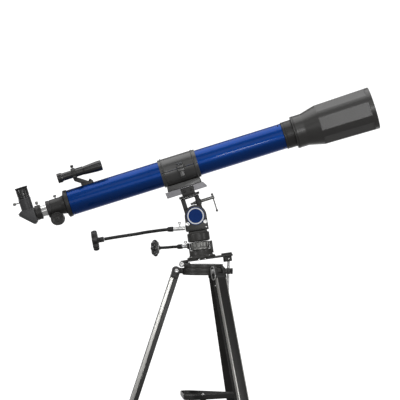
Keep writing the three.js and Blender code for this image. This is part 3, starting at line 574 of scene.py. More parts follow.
def drawtube():
    wall = ring("x", 14.2, 17, -463, -262, soft=0.4, turns=96)
    make("drawtube_barrel", [wall], chrome, "drawtube", TUBE, ["drawtube"])
    collar = revolve("x", [(14.2, -469), (22, -469), (23, -467.5), (23, -464), (22.2, -463), (22.2, -457),
                           (23, -456), (23, -452.5), (22, -451), (17.1, -451)], soft=0.6, turns=96, loop=True)
    make("drawtube_collar", [collar], textured_abs, "drawtube", TUBE)
    thumb = [rod("z", 2, 20, 29, (-459, 0, 0)),
             revolve("z", [(0, 26), (4.5, 26), (4.5, 34), (3.5, 35), (0, 35)], (-459, 0, 0),
                     shape=lobes(18, 0.4), turns=108)]
    make("collar_thumbscrew", thumb, ring_plate, "drawtube", TUBE)
    rack = block(-440, -280, -4, 4, -17.4, -15.5, soft=0.2, along="x")
    make("focus_rack", [rack], bright_plate, "drawtube", TUBE)


def focus_knobs():
    profile = [(0, 24.4), (10, 24.4), (11, 26), (18, 27), (20.7, 28.5), (20.7, 36), (19.5, 37),
               (17.8, 37), (17, 35.6), (9, 34.6), (8, 36.4), (0, 36.8)]
    wheel = revolve("y", profile, soft=0.7, turns=240, shape=lobes(30, 0.9, 1.0, 16))
    ribs = [moved(block(8.5, 17.2, -0.8, 0.8, 0, 1.5, soft=0.4, corner=0.5), 18 * i, "z")
            for i in range(20)]
    ribs = [(points[:, [0, 2, 1]] + [0, 34.4, 0], faces) for points, faces in ribs]
    knob = [wheel] + ribs
    shaft = rod("y", 3, -30, 30)
    make("focus_knob_pair", [shaft] + knob + [mirrored(part) for part in knob], textured_abs,
         "focus_knobs", PINION, ["focus_knobs"])
    caps = [screw_head("y", 3.2, 1.6, 36.6)]
    make("focus_knob_screws", caps + [mirrored(part) for part in caps], black_paint, "focus_knobs",
         PINION)


def diagonal():
    outline = [(-470.6, 20), (-511, 20), (-523, 12), (-480, -32), (-470.6, -25)]
    case = prism("y", outline, -19, 19, soft=1.6, corner=2.5)
    seam_front = prism("y", [(-475, 15), (-508, 15), (-516, 11.5), (-481, -24.5), (-475, -20)], -19.7, 19.7,
                       soft=0.5, corner=3)
    holder = revolve("z", [(16.4, 14), (19, 14), (19, 50), (19.6, 50.6), (19.6, 54.4),
                           (18.8, 55), (16.4, 55)], (EYEPIECE_AT, 0, 0), soft=0.5, turns=80, loop=True)
    nose = ring("x", 11, 13.6, -474, -440, turns=64)
    make("diagonal_case", [case, seam_front, holder, nose], grey_abs, "diagonal", TUBE, ["diagonal"])
    plate = prism("x", [(-15, -27), (15, -27), (15, 27), (-15, 27)], -0.6, 0.6, soft=0.3, corner=3)
    plate = moved(plate, -45.7, "y", (-502.6, 0, -10.8))
    make("diagonal_back_plate", [plate], black_paint, "diagonal", TUBE)
    screw = [rod("x", 1.8, -523, -507, (0, 0, 46)),
             revolve("x", [(0, -521), (4.4, -521), (4.4, -529), (3.4, -530), (0, -530)], (0, 0, 46),
                     shape=lobes(18, 0.4), turns=108)]
    make("diagonal_thumbscrew", screw, ring_plate, "diagonal", TUBE)


def eyepiece():
    profile = [(0, 26), (13, 26), (13, 24), (15.85, 24), (15.85, 55.4), (17.6, 55.4), (18.5, 56.4),
               (18.5, 60), (17.6, 61), (17.6, 62), (18.5, 63), (18.5, 85), (12, 85), (12, 80), (0, 79)]
    body = revolve("z", profile, (EYEPIECE_AT, 0, 0), soft=0.5, turns=180)
    grips = [ring("z", 17.8, 18.9, 65 + 2.2 * i, 66.2 + 2.2 * i, (EYEPIECE_AT, 0, 0), soft=0.3, turns=96)
             for i in range(6)]
    make("eyepiece_body", [body] + grips, gloss_paint, "eyepiece", TUBE, ["eyepiece"])
    cup = revolve("z", [(12.5, 84.5), (18.2, 84.5), (18.6, 86.6), (20, 87.4), (20, 90), (19, 91),
                        (15, 91), (12.5, 87)], (EYEPIECE_AT, 0, 0), soft=0.8, turns=96, loop=True)
    make("eyecup", [cup], rubber, "eyepiece", TUBE)
    lens = revolve("z", [(0, 79.2), (11.9, 79.2), (11.9, 82), (6, 83.6), (0, 84.2)], (EYEPIECE_AT, 0, 0),
                   soft=0.3, turns=48)
    make("eye_lens", [lens], lens_glass, "eyepiece", TUBE)


def finder():
    centre = (0, 0, FINDER_HEIGHT)
    profile = [(10, -372), (12, -374), (14.5, -374), (15.5, -373), (15.5, -369), (14.8, -368.4),
               (14.8, -367), (15.5, -366.4), (15.5, -361), (12.5, -357), (12.5, -330), (12.5, -292),
               (13.6, -286), (16.1, -250), (16.3, -246), (16.3, -232), (15.4, -231), (13.6, -231),
               (13.2, -237), (0, -238)]
    body = revolve("x", [(0, -371)] + profile, centre, soft=0.6, turns=80)
    rail = block(-327, -290, -4, 4, FINDER_HEIGHT + 11.6, FINDER_HEIGHT + 14.2, soft=0.6, along="x")
    make("finder_tube", [body, rail], gloss_paint, "optical_tube", TUBE, ["finder_scope"])
    front = revolve("x", [(0, -238.2), (13.1, -237.4), (13.1, -235.6), (7, -234.2), (0, -233.8)], centre,
                    soft=0.2, turns=48)
    rear = revolve("x", [(0, -371.2), (10, -371.2), (9.6, -372.4), (5, -373.4), (0, -373.6)], centre,
                   soft=0.2, turns=48)
    make("finder_lenses", [front, rear], lens_glass, "optical_tube", TUBE)


def finder_bracket():
    centre = (0, 0, FINDER_HEIGHT)
    hoop = ring("x", 14.2, 17.5, -327.5, -314.5, centre, soft=1.0, turns=80)
    stalk = prism("y", [(-327, 68), (-327, 60), (-303, 43), (-283, 43), (-283, 46.5), (-312, 67)], -6, 6,
                  soft=1.2, corner=3)
    arc = np.linspace(-19, 19, 15) * DEG
    inside = np.stack([(TUBE_RADIUS + 0.35) * np.sin(arc), (TUBE_RADIUS + 0.35) * np.cos(arc)], 1)
    pad_top = np.array([(13, 45.6), (10, 47), (-10, 47), (-13, 45.6)])
    pad = prism("x", np.vstack([inside, pad_top]), -309, -271, soft=0.6, corner=0.3)
    make("finder_stalk", [hoop, stalk, pad], textured_abs, "optical_tube", TUBE, ["finder_bracket"])
    nuts = []
    for s in (-300, -279):
        nuts += [prism("z", hexagon(5), 46.6, 51, soft=0.6, corner=0.4, centre=(s, 0, 0)),
                 rod("z", 2, 46, 53.5, (s, 0, 0))]
    make("finder_foot_nuts", nuts, black_paint, "optical_tube", TUBE)
    screws = []
    for turn in (0, 120, 240):
        knob = [rod("z", 1.8, 12.7, 21, (-321, 0, 0)),
                revolve("z", [(0, 19), (3, 19), (4.75, 21), (4.75, 25.5), (3.6, 27.5), (0, 27.5)],
                        (-321, 0, 0), shape=lobes(16, 0.5), turns=96)]
        screws += [moved(part, turn, "x", centre) for part in knob]
    make("finder_adjusting_screws", screws, textured_abs, "optical_tube", TUBE)


# ---- cradle, dovetail bar and saddle -------------------------------------------------------------
CRADLE_REAR, CRADLE_FRONT = -64, 55


UPPER_GAP, LOWER_GAP = 1.7 * DEG, 1.0 * DEG  # from the split to the upper and lower half's edge


def half_sleeve(side):
    """Half of the cradle: its wall's outline, with a raised rib at each end, carried half a turn."""
    inner, outer, rib = 40.4, 44, 46.5
    rear, front = CRADLE_REAR, CRADLE_FRONT
    wall = soften([(inner, rear), (outer, rear), (outer, rear + 7.6), (rib, rear + 8.4),
                   (rib, rear + 11), (outer, rear + 12), (outer, front - 13), (rib, front - 12),
                   (rib, front - 9.4), (outer, front - 8.6), (outer, front), (inner, front)],
                  0.5, closed=True)
    start, gap = (0, UPPER_GAP) if side > 0 else (math.pi, LOWER_GAP)
    angle = np.linspace(start + gap, start + math.pi - gap, 73)
    radius, along = wall[None, :, 0], wall[None, :, 1]
    points = np.stack([along + 0 * angle[:, None], radius * np.cos(angle)[:, None],
                       radius * np.sin(angle)[:, None]], -1)
    rows, columns = points.shape[:2]
    faces = grid_faces(rows, columns)
    faces.append(list(range(columns))[::-1])
    faces.append(list(range((rows - 1) * columns, rows * columns)))
    return points.reshape(-1, 3), faces


def cradle():
    pivot = CRADLE_PIVOT
    seat = prism("y", [(-58, -43), (48, -43), (50, -60), (-60, -60)], -17, 17, soft=1.5, corner=2)
    lower = [half_sleeve(-1), seat]
    for s0, s1 in ((-34, -20.3), (20.3, 34)):
        lower += [rod("x", 6, s0, s1, (0, pivot, 0)), block(s0, s1, 43, pivot, -6, -0.5, soft=0.8)]
    lower.append(block(-12, 12, -56, -43, -10, -0.5, soft=1.2, corner=3))
    lower.append(prism("x", [(-53, -9), (-53, -26), (-45, -34), (-35, -30), (-42, -9)], -7, 7, soft=1.2,
                       corner=1.5))
    make("cradle_lower_half", lower, cradle_paint, "yoke", TUBE, ["cradle_lower"])
    upper = [half_sleeve(1), rod("x", 6, -20, 20, (0, pivot, 0)),
             block(-20, 20, 43, pivot, 0.5, 6, soft=0.8),
             block(-12, 12, -56, -43, 0.5, 9, soft=1.2, corner=3)]
    make("cradle_upper_half", upper, cradle_paint, "cradle_upper", TUBE, ["cradle_upper"])
    # A matt black sheet in the split between the cradle's halves: painted shade that darkens the split line.
    split_shade_sheet = block(CRADLE_REAR + 1, CRADLE_FRONT - 1, -43.2, -40.5, -1.6, 0.9, soft=0.2, corner=0.2)
    make("cradle_split_painted_shade", [split_shade_sheet], lining_and_shade_black, "yoke", TUBE)
    pin = [rod("x", 2.6, -36, 36, (0, pivot, 0), turns=24), screw_head("x", 4.2, -2, -34, (0, pivot, 0)),
           screw_head("x", 4.2, 2, 34, (0, pivot, 0))]
    make("cradle_hinge_pin", pin, bright_plate, "yoke", TUBE)


def cradle_latch():
    stud = rod("z", 3, -12, 14, turns=24)
    hub = revolve("z", [(0, 9.4), (6.5, 9.4), (5.2, 15), (4, 17), (0, 17)], soft=0.8, turns=40)
    wing = prism("y", [(2, 10), (6, 10), (8.5, 15.5), (10.5, 22), (6.5, 22), (3, 15)], -1.9, 1.9, soft=0.9,
                 corner=1.8)
    wings = [wing, moved(wing, 180, "z")]
    make("latch_wing_nut", [stud, hub] + wings, dark_plate, "cradle_latch", LATCH, ["cradle_latch"])


def saddle():
    bar = prism("y", [(-67, 76.3), (61, 76.3), (61, 82), (53, 94.7), (-69, 94.7)], -18, 18, soft=0.8,
                corner=1.2)
    make("dovetail_rail", [bar], anodised_bar, "yoke", DEC, ["dovetail_bar"])
    flange = prism("x", [(-22, 62.3), (29, 62.3), (29, 70), (-22, 70)], -32.5, 32.5, soft=1.5, corner=2)
    jaws = [block(-20.5, 20.5, -22, 22, 66, 75.4, soft=1.2),
            block(-20.5, 20.5, 18.6, 26, 69, 93, soft=1.5, corner=2.5),
            block(-20.5, 20.5, -26, -18.6, 69, 93, soft=1.5, corner=2.5)]
    make("saddle_clamp", [flange] + jaws, black_paint, "yoke", DEC, ["saddle"])
    bolts = [screw_head("y", 4.2, -2.4, -26, (s, 0, 82)) for s in (-11, 11)]
    make("saddle_bolts", bolts, black_paint, "yoke", DEC)


# ---- yoke and its clamp screw --------------------------------------------------------------------
YOKE_FRONT, YOKE_BACK = 9, 29
SCREW_HEIGHT = 39


def yoke():
    drum = ring("y", 9.8, 30, YOKE_FRONT, YOKE_BACK, soft=1.5, turns=96)
    left = prism("y", [(-30, 0), (-16, 0), (-16, 58), (-13, 61.5), (-30, 61.5)], YOKE_FRONT, YOKE_BACK,
                 soft=1.2, corner=2)
    right = prism("y", [(14, 0), (28, 0), (28, 61.5), (11, 61.5), (14, 58)], YOKE_FRONT, YOKE_BACK,
                  soft=1.2, corner=2)
    bridge = block(-30, 28, YOKE_FRONT, YOKE_BACK, 57.5, 62, soft=1)
    boss = rod("x", 9, 13, 30, (0, (YOKE_FRONT + YOKE_BACK) / 2, SCREW_HEIGHT), soft=1)
    make("yoke_arms", [drum, left, right, bridge, boss], black_paint, "yoke", DEC, ["yoke"])
    cap = revolve("y", [(0, 31.6), (9, 31.6), (11, 30.6), (12, 28.5), (0, 28.5)], soft=0.8, turns=64)
    make("declination_axle_cap", [cap], bright_plate, "polar_head", DEC)


def clamp_screw():
    shaft = rod("x", 5, 6, 73, soft=0.8)
    tip = rod("x", 3.4, -4, 8, soft=0.6)
    threads = [ring("x", 3.2, 4.0, 0.4 + 1.5 * i, 1.2 + 1.5 * i, soft=0.2, turns=40) for i in range(4)]
    make("clamp_screw", [shaft, tip] + threads, ring_plate, "tension_screw", SCREW, ["tension_screw"])
    offset = (68.5, 0, -SCREW_HEIGHT)
    bar = [moved(part, offset=offset) for part in
           (rod("z", 2, -3.7, 48.3, turns=24), ball(4, (0, 0, -3.7)), ball(4, (0, 0, 48.3)))]
    make("clamp_tommy_bar", bar, ring_plate, "tommy_bar", SCREW, ["tommy_bar"])

# ---- polar head: in the polar frame, z up the polar axis, x up the plate, y to the back ----------
DEC_HEIGHT = 142
COVER_FRONT = -29


def polar_base():
    profile = [(0, 10.9), (44, 10.9), (44, 15), (42.5, 16.4), (38, 17.5), (35.5, 22), (33.5, 31),
               (33.5, 35.4), (32.5, 36), (24, 36), (24, 61), (0, 61)]
    drum = revolve("z", profile, soft=1.2, turns=112)
    worm_box = block(-35, -30.6, -7, 7, 22, 61, soft=1.2, corner=2.5, along="x")
    worm_foot = block(-35, -26, -7, 7, 18, 34, soft=1.5, corner=2)
    lock_box = block(30.7, 40, -7, 7, 22, 60, soft=1.2, corner=2)
    make("polar_base_casting", [drum, worm_box, worm_foot, lock_box], powder_coat, "tilt_plate", POLAR,
         ["ra_base"])
    bolts = [moved(screw_head("z", 2.8, 1.8, 16.2, (39.3, 0, 0)), a, "z") for a in (-140, -50, 50, 140)]
    make("polar_base_bolts", bolts, bright_plate, "tilt_plate", POLAR)
    gland = revolve("x", [(6.3, -39.4), (8.4, -39.4), (9.4, -38.4), (9.4, -35), (6.3, -35)], (0, 0, 52.2),
                    soft=0.5, turns=48, loop=True)
    make("polar_worm_gland", [gland], black_paint, "tilt_plate", POLAR)


def setting_ring():
    """A grooved band below and a fluted grip above."""

    def flutes(radius, angle, along):
        dip = (0.5 - 0.5 * np.cos(14 * angle)) ** 1.5
        in_grip = np.clip((along - 44.5) / 1.0, 0, 1) * np.clip((59.5 - along) / 1.0, 0, 1)
        return radius - 1.7 * dip * in_grip * (radius > 27)

    profile = [(24.8, 37.2), (29.6, 37.2), (30.2, 37.8), (30.2, 42.2), (29.6, 42.8), (29.4, 44),
               (29.8, 44.6), (30.3, 46), (30.3, 52), (30.3, 58), (29.8, 59.8), (28.6, 60.5), (24.8, 60.5)]
    band = revolve("z", profile, soft=0.5, turns=336, loop=True, shape=flutes)
    make("setting_ring_grip", [band], ring_plate, "ra_setting_ring", POLAR, ["ra_setting_ring"])
def polar_housing():
    outline = [(-29.2, -20), (-22.4, -25), (22.4, -25), (29.2, -20), (29.2, 20), (22.4, 25), (-22.4, 25),
               (-29.2, 20)]
    eight = prism("z", outline, 62, 96, soft=2.0, corner=2.5)
    round_part = revolve("z", [(0, 62.2), (30, 62.2), (32.5, 63.2), (34.5, 66), (34.5, 87), (33.5, 89.5),
                               (31, 90.5), (0, 90.5)], soft=1.2, turns=112)
    column = block(-22, 22, -7, 7, 88, 124, soft=1.5, corner=2)
    stub = block(-18, 18, -7, 7, 112, 142, soft=1.5)
    head = rod("y", 18, -7, 7, (0, 0, DEC_HEIGHT), soft=1.2, turns=80)
    axle = rod("y", 9, 0, 31, (0, 0, DEC_HEIGHT), soft=1)
    make("polar_housing_casting", [eight, round_part, column, stub, head, axle], powder_coat, "polar_head",
         POLAR, ["ra_housing"])
    make("polar_housing_bolts",
         [screw_head("y", 3.2, -2, -24.8, (x, 0, 79)) for x in (-17, 17)], bright_plate, "polar_head",
         POLAR)


def declination_cover():
    half, bottom = 35, 96.3
    turn = np.linspace(0, np.pi, 41)
    arch = np.stack([34 * np.cos(turn), DEC_HEIGHT + 34 * np.sin(turn)], 1)
    outline = np.vstack([[(half, bottom)], arch, [(-half, bottom)]])
    shell = prism("y", outline, COVER_FRONT, -7.6, soft=2.6, corner=2.2, steps=5)
    worm = revolve("x", [(0, -36.6), (8.6, -36.6), (9.5, -35.6), (9.5, -26), (9.5, -20), (0, -20)],
                   (0, -18, 108.6), soft=0.8, turns=64)
    foot = block(-34, -22, -28, -8.5, 97, 108, soft=1.5)
    make("declination_cover_shell", [shell, worm, foot], textured_abs, "polar_head", POLAR, ["dec_cover"])
    step = np.vstack([[(31.5, 101)], np.stack([30.6 * np.cos(turn), DEC_HEIGHT + 30.6 * np.sin(turn)], 1),
                      [(-31.5, 101)]])
    panel = prism("y", step, COVER_FRONT - 0.7, COVER_FRONT + 1, soft=0.7, corner=2)
    make("declination_cover_face", [panel], powder_coat, "polar_head", POLAR)
    screws = [screw_head("y", 6.5, -2.4, COVER_FRONT - 0.6, (x, 0, 120.4)) for x in (-27.5, 27.5)]
    screws.append(screw_head("y", 2.4, -1.2, COVER_FRONT - 0.6, (28.5, 0, 104)))
    make("declination_cover_screws", screws, bright_plate, "polar_head", POLAR)


def cover_badge():
    at = (0, 0, DEC_HEIGHT)
    front = COVER_FRONT - 3
    disc = revolve("y", [(0, COVER_FRONT - 0.4), (28, COVER_FRONT - 0.4), (28, front + 0.8), (27.2, front),
                         (26.4, front + 0.35), (0, front + 0.1)], at, soft=0.3, turns=128)
    make("badge_disc", [disc], badge_blue, "polar_head", POLAR, ["badge"])
    band = ring("y", 22.0, 25.7, front - 0.12, front + 0.5, at, soft=0.1, turns=128)
    make("badge_ring", [band], badge_white, "polar_head", POLAR)


# ---- slow-motion controls: each frame points out along +x from its worm --------------------------


def control_sleeve(start, end, screw_at, height):
    neck = revolve("x", [(2.5, start), (5.6, start), (6, start + 0.6), (6, end - 4), (5.5, end - 3.4),
                         (5.5, end - 2.6), (6, end - 2), (6, end - 0.5), (5.4, end), (2.5, end)],
                   soft=0.4, turns=56, loop=True)
    stem = rod("z", 2, 0, height, (screw_at, 0, 0), turns=24)
    head = revolve("z", [(0, height - 3), (4.2, height - 3), (5.2, height - 1.8), (5.2, height + 2.4),
                         (3.6, height + 4), (0, height + 4)], (screw_at, 0, 0), soft=1.0,
                   shape=lobes(20, 0.3, 1.0, 3), turns=120)
    return [neck, stem, head]


def flexible_shaft(route, radius, count):
    """A wound shaft in a vinyl sheath: a smooth run with the turns of wire just showing through."""
    line = smooth_path(route, count)
    travelled = np.concatenate([[0], np.cumsum(np.linalg.norm(np.diff(line, axis=0), axis=1))])
    fade = np.clip(np.minimum(travelled, travelled[-1] - travelled) / 6, 0, 1)
    return along_path(line, radius + 0.16 * fade * np.sin(2 * np.pi * travelled / 2.6), turns=32)


def round_knob(outer, start, end, depth, hub):
    """An eight-lobed grip with a dished face and a raised hub, along x."""
    middle = (start + end) / 2
    profile = [(0, start), (hub, start), (outer - 5, start + 0.6), (outer - 1.2, start + 2.4),
               (outer, middle - 2), (outer, middle + 2), (outer - 1.2, end - 2.4), (outer - 4, end - 0.2),
               (outer - 6.5, end), (outer - 8, end - 1.2), (hub + 3, end - 2.2), (hub + 1, end - 1.6),
               (hub, end - 0.2), (0, end)]
    return revolve("x", profile, soft=1.6, turns=256, shape=lobes(8, depth, 1.15, outer * 0.42))


def polar_control():
    make("polar_sleeve", control_sleeve(2.7, 19.7, 9.2, 12.7), bright_plate, "ra_knob", RA_CONTROL,
         ["ra_sleeve"])
    ferrule = revolve("x", [(0, 20), (6.6, 20), (7.5, 21), (7.5, 33), (7, 33.8), (7, 34.6), (6.4, 36.4),
                            (0, 36.4)], soft=0.5, turns=56)
    cable = flexible_shaft([(35, 0, 0), (52, 0, 0.3), (74, 0, -0.3), (95, 0, 0)], 4.5, 180)
    make("polar_flexible_shaft", [ferrule, cable], vinyl, "tilt_plate", RA_CONTROL, ["ra_flex_shaft"])
    grip = round_knob(26.5, 8, 23, 4.6, 9)
    make("polar_knob_grip", [grip], gloss_phenolic, "ra_knob", RA_KNOB, ["ra_knob"])
    nut = [prism("x", hexagon(9), 0.4, 7.2, soft=1.0, corner=0.8), rod("x", 7.4, 7, 8.6, turns=48)]
    make("polar_knob_nut", nut, bright_plate, "ra_knob", RA_KNOB)
    cap = revolve("x", [(0, 21), (6, 21), (6.5, 23.2), (5.6, 24), (0, 24.3)], soft=0.6, turns=48)
    make("polar_knob_cap", [cap], textured_abs, "ra_knob", RA_KNOB)


def declination_control():
    make("declination_sleeve", control_sleeve(1.2, 36.7, 17, 17), bright_plate, "dec_sleeve", DEC_CONTROL,
         ["dec_sleeve"])
    ferrule = revolve("x", [(0, 37), (7, 37), (8, 38), (8, 50), (7.4, 51), (7.4, 52.6), (6.2, 55.4),
                            (0, 55.4)], soft=0.6, turns=56)
    route = [(54, 0, 0), (72, 3, -0.6), (96, 14, -2), (122, 31, -3.6), (150, 45, -6.5), (187, 55, -9.4),
             (222, 59.5, -12.4), (250, 60, -15.2)]
    cable = flexible_shaft(route, 5, 420)
    make("declination_flexible_shaft", [ferrule, cable], vinyl, "polar_head", DEC_CONTROL,
         ["dec_flex_shaft"])
    neck = revolve("x", [(0, 0.7), (7.4, 0.7), (8.2, 1.6), (8.2, 13), (7.6, 14), (7.6, 15), (8.6, 17),
                         (9.4, 18.6), (0, 19)], soft=0.5, turns=56)
    grip = round_knob(31.5, 18, 37, 6, 10)
    make("declination_knob_grip", [neck, grip], textured_abs, "dec_knob", DEC_KNOB, ["dec_knob"])
    cap = revolve("x", [(0, 35), (7, 35), (7.4, 37.2), (6.4, 38), (0, 38.3)], soft=0.6, turns=48)
    make("declination_knob_cap", [cap], gloss_phenolic, "dec_knob", DEC_KNOB)


# ---- tilting plate and latitude adjuster ---------------------------------------------------------
ROD_PIN = (146.2, 0, -3)


def tilt_plate():
    deck = prism("z", [(14, -36), (160, -36), (160, 36), (14, 36)], 4.5, 10.5, soft=1.0, corner=6)
    neck = block(-2, 20, -19.4, 19.4, 2.4, 10.5, soft=1.2)
    knuckle = ring("y", 4.4, 8.5, -19.4, 19.4, turns=56)
    cheek = prism("y", [(129, 5), (129, -8), (132, -11.5), (156, -11.5), (156, 5)], 6, 17, soft=1,
                  corner=3)
    web = block(129, 134, -17, 17, -11.5, 5, soft=1)
    cap = block(125, 158, -20, 20, 10, 15.5, soft=1.4, corner=3)
    make("tilting_plate", [deck, neck, knuckle, cheek, mirrored(cheek), web, cap], black_paint, "tilt_plate",
         PLATE, ["tilt_plate"])
    screws = [screw_head("y", r, -0.5 * r, -35.8, (x, 0, 7.5)) for x, r in ((55, 2.9), (74, 2.0))]
    screws.append(screw_head("y", 2.6, -1.6, -16.9, ROD_PIN))
    make("tilting_plate_screws", screws, bright_plate, "tilt_plate", PLATE)


def latitude_rod():
    """A threaded rod: shallow rings at the pitch of its thread, with a plain top and a chamfered end."""
    along = np.arange(-180, -1.6, 0.3125)
    crest = 3.94 + 0.1 * np.cos(2 * np.pi * along / 1.25)
    profile = np.vstack([[(0, -182), (3.2, -182)], np.stack([crest, along], 1), [(4, -1), (4, 2), (0, 2)]])
    body = revolve("z", profile, soft=0, turns=24)
    pin = rod("y", 2.5, -16.5, 16.5, turns=24)
    make("latitude_threaded_rod", [body, pin], bright_plate, "latitude_rod", ROD, ["latitude_rod"],
         sharp=60)


def latitude_clamp():
    """A block with a bore for the rod and a trunnion at each end."""
    left = block(-6.5, -4.6, -10, 10, -9, 9, soft=0.8)
    right = block(4.6, 5.5, -10, 10, -9, 9, soft=0.4)
    sides = [block(-6.5, 5.5, -10, -4.8, -9, 9, soft=0.8), block(-6.5, 5.5, 4.8, 10, -9, 9, soft=0.8)]
    pins = [rod("y", 3, -16.5, -9, turns=32), rod("y", 3, 9, 16.5, turns=32)]
    make("rod_clamp_block", [left, right] + sides + pins, black_paint, "rod_clamp", CLAMP,
         ["latitude_clamp"])
    grip = revolve("x", [(0, 6), (8.2, 6), (9.3, 7), (9.3, 13), (8.4, 14), (5, 14), (4.6, 13.4), (0, 13.4)],
                   soft=0.5, turns=192, shape=lobes(12, 0.9, 1.0, 5))
    stud = rod("x", 2.4, 5.1, 7, turns=24)
    make("rod_clamp_grip", [grip, stud], textured_abs, "rod_clamp_knob", CLAMP, ["latitude_knob"])


# ---- azimuth base --------------------------------------------------------------------------------
BASE_BOTTOM, BASE_TOP = 730, 741
HINGE = (-65.5, 0, 741)
CLAMP_AT = (78.5, 0, 719.6)


def azimuth_base():
    turn = np.linspace(-math.acos(-50 / 62), math.acos(-50 / 62), 97)
    rim = np.stack([62 * np.cos(turn), 62 * np.sin(turn)], 1)
    notch = [(-50, 20), (-50, -20)]
    outline = np.vstack([rim, [(-58.7, 20)], notch, [(-58.7, -20)]])
    disc = prism("z", outline, BASE_BOTTOM + 0.1, BASE_TOP, soft=1.4, corner=0.6, steps=4)
    ear_start = [(-40, BASE_BOTTOM + 4), (-40, 745.6)]
    arc = np.linspace(33, 270, 25) * DEG
    arc = np.stack([HINGE[0] + 8.5 * np.cos(arc), HINGE[2] + 8.5 * np.sin(arc)], 1)
    ear = prism("y", np.vstack([ear_start, arc, [(-62, BASE_BOTTOM + 4)]]), 20, 28, soft=1, corner=0.8)
    cheek = prism("y", [(44, BASE_BOTTOM), (44, 738), (60, 738), (70, 727), (84.5, 727), (84.5, 714),
                        (82, 711.6), (69, 711.6), (66.5, 714), (66.5, BASE_BOTTOM)], 11, 17, soft=1,
                  corner=1.5)
    make("azimuth_base_casting", [disc, ear, mirrored(ear), cheek, mirrored(cheek)], powder_coat,
         "azimuth_base", STAND, ["azimuth_base"])
    heads = [rod("y", 4, -30, 30, HINGE), screw_head("y", 7.5, -4.6, -28.3, HINGE, 0.4),
             prism("y", hexagon(6.5), 28.3, 33, soft=0.8, corner=0.6, centre=HINGE)]
    make("latitude_hinge_hardware", heads, bright_plate, "azimuth_base", STAND, ["latitude_hinge_bolt"])
    caps = [rod("y", 4.6, -18.4, -16.8, CLAMP_AT, turns=40), rod("y", 4.6, 16.8, 18.4, CLAMP_AT, turns=40)]
    make("clamp_trunnion_caps", caps, black_paint, "azimuth_base", STAND)


# ---- tripod --------------------------------------------------------------------------------------
HEAD_BOTTOM, HEAD_TOP = 708, 729.7
HINGE_CIRCLE, HINGE_HEIGHT = 83, 721
UPPER_END = 640
ARM_INSET, ARM_ON_LEG = 18, 560


def tripod_head():
    drum = revolve("z", [(52, HEAD_BOTTOM), (62.5, HEAD_BOTTOM), (64, HEAD_BOTTOM + 1.5), (64, 716),
                         (63.2, 716.8), (63.2, 718), (64, 718.8), (64, 728), (62.4, HEAD_TOP),
                         (0, HEAD_TOP), (0, 720.5), (50, 720.5), (50, HEAD_BOTTOM)], soft=0.8, turns=128)
    parts = [drum]
    arc = np.linspace(-90, 90, 17) * DEG
    nose = np.stack([HINGE_CIRCLE + 9 * np.cos(arc), HINGE_HEIGHT + 9 * np.sin(arc)], 1)
    tongue = prism("y", np.vstack([[(56, 712.2)], nose, [(56, 729.2)]]), -7.5, 7.5, soft=1, corner=0.8)
    for side in SIDES:
        parts.append(moved(tongue, AZIMUTH[side] / DEG, "z"))
    ribs = [moved(block(10, 51, -2, 2, HEAD_BOTTOM + 2, 721, soft=0.8), 60 * i, "z") for i in range(6)]
    parts += ribs + [ring("z", 6, 14, HEAD_BOTTOM + 1, 721, turns=48)]
    make("tripod_head_casting", parts, powder_coat, "tripod_head", STAND, ["tripod_head"])


def box_ring(x_half, y_half, x_bore, y_bore, low, high, soft=1.0, corner=3.0):
    """A rectangular sleeve along z with rounded corners and rims."""

    def loop(x, y, round_by):
        return soften([(-x, -y), (x, -y), (x, y), (-x, y)], round_by, closed=True, steps=5)

    layers = []
    for x, y, z, r in ((x_half - soft, y_half - soft, low, corner), (x_half, y_half, low + soft, corner),
                       (x_half, y_half, high - soft, corner), (x_half - soft, y_half - soft, high, corner),
                       (x_bore, y_bore, high, 1.0), (x_bore, y_bore, low, 1.0)):
        line = loop(x, y, r)
        layers.append(np.column_stack([line, np.full(len(line), z)]))
    points = np.stack(layers)
    return points.reshape(-1, 3), grid_faces(*points.shape[:2], wrap_rows=True)


def leg_top(side):
    """The fitting that straddles the head's tongue, and the bolt through it."""
    bottom = block(-12, 12, -20, 20, -24, -10, soft=1.2, corner=2)
    arc = np.linspace(0, 180, 19) * DEG
    dome = np.stack([13.4 * np.cos(arc), 13.4 * np.sin(arc)], 1)
    cheek = prism("y", np.vstack([dome, [(-12, -5), (-12, -14), (12, -14), (12, -5)]]), 8, 20, soft=1.4,
                  corner=0.8)
    make(f"leg_fitting_{side}_casting", [bottom, cheek, mirrored(cheek)], textured_abs, f"leg_{side}",
         LEG[side], [f"leg_fitting_{side}"])
    head = screw_head("y", 7, 5, 20.3, socket=0.42)
    nut = [ring("y", 4, 7.4, -21.3, -20.3, turns=48), prism("y", hexagon(6.8), -25.4, -21.3, soft=0.8,
                                                             corner=0.6)]
    shaft = rod("y", 4, -21, 21, turns=32)
    parts = [head, shaft] + nut
    make(f"leg_bolt_{side}_steel", parts, bright_plate, f"leg_{side}", LEG[side], [f"leg_bolt_{side}"])


def leg_link():
    """A plated link round the hinge bolt of the front leg, on its outward cheek."""
    side = "front"
    arc = np.linspace(0, math.pi, 15)
    face = -1 if LEG[side][1][1, 1] > 0 else 1

    def stadium(radius, y):
        top = np.stack([radius * np.cos(arc), 0 * arc + y, 4.5 + radius * np.sin(arc)], 1)
        low = np.stack([-radius * np.cos(arc), 0 * arc + y, -17 - radius * np.sin(arc)], 1)
        return np.vstack([top, low])

    outer, inner = 11.4, 8
    near, far = 20.0 * face, 21.2 * face
    layers = np.stack([stadium(outer, near), stadium(outer, far), stadium(inner, far),
                       stadium(inner, near)])
    link = layers.reshape(-1, 3), grid_faces(*layers.shape[:2], wrap_rows=True)
    dot = screw_head("y", 2.2, 1.4 * face, 17.9 * face, (-3, 0, -45), 0.4)
    make("leg_link_front", [link, dot], bright_plate, "leg_front", LEG[side])


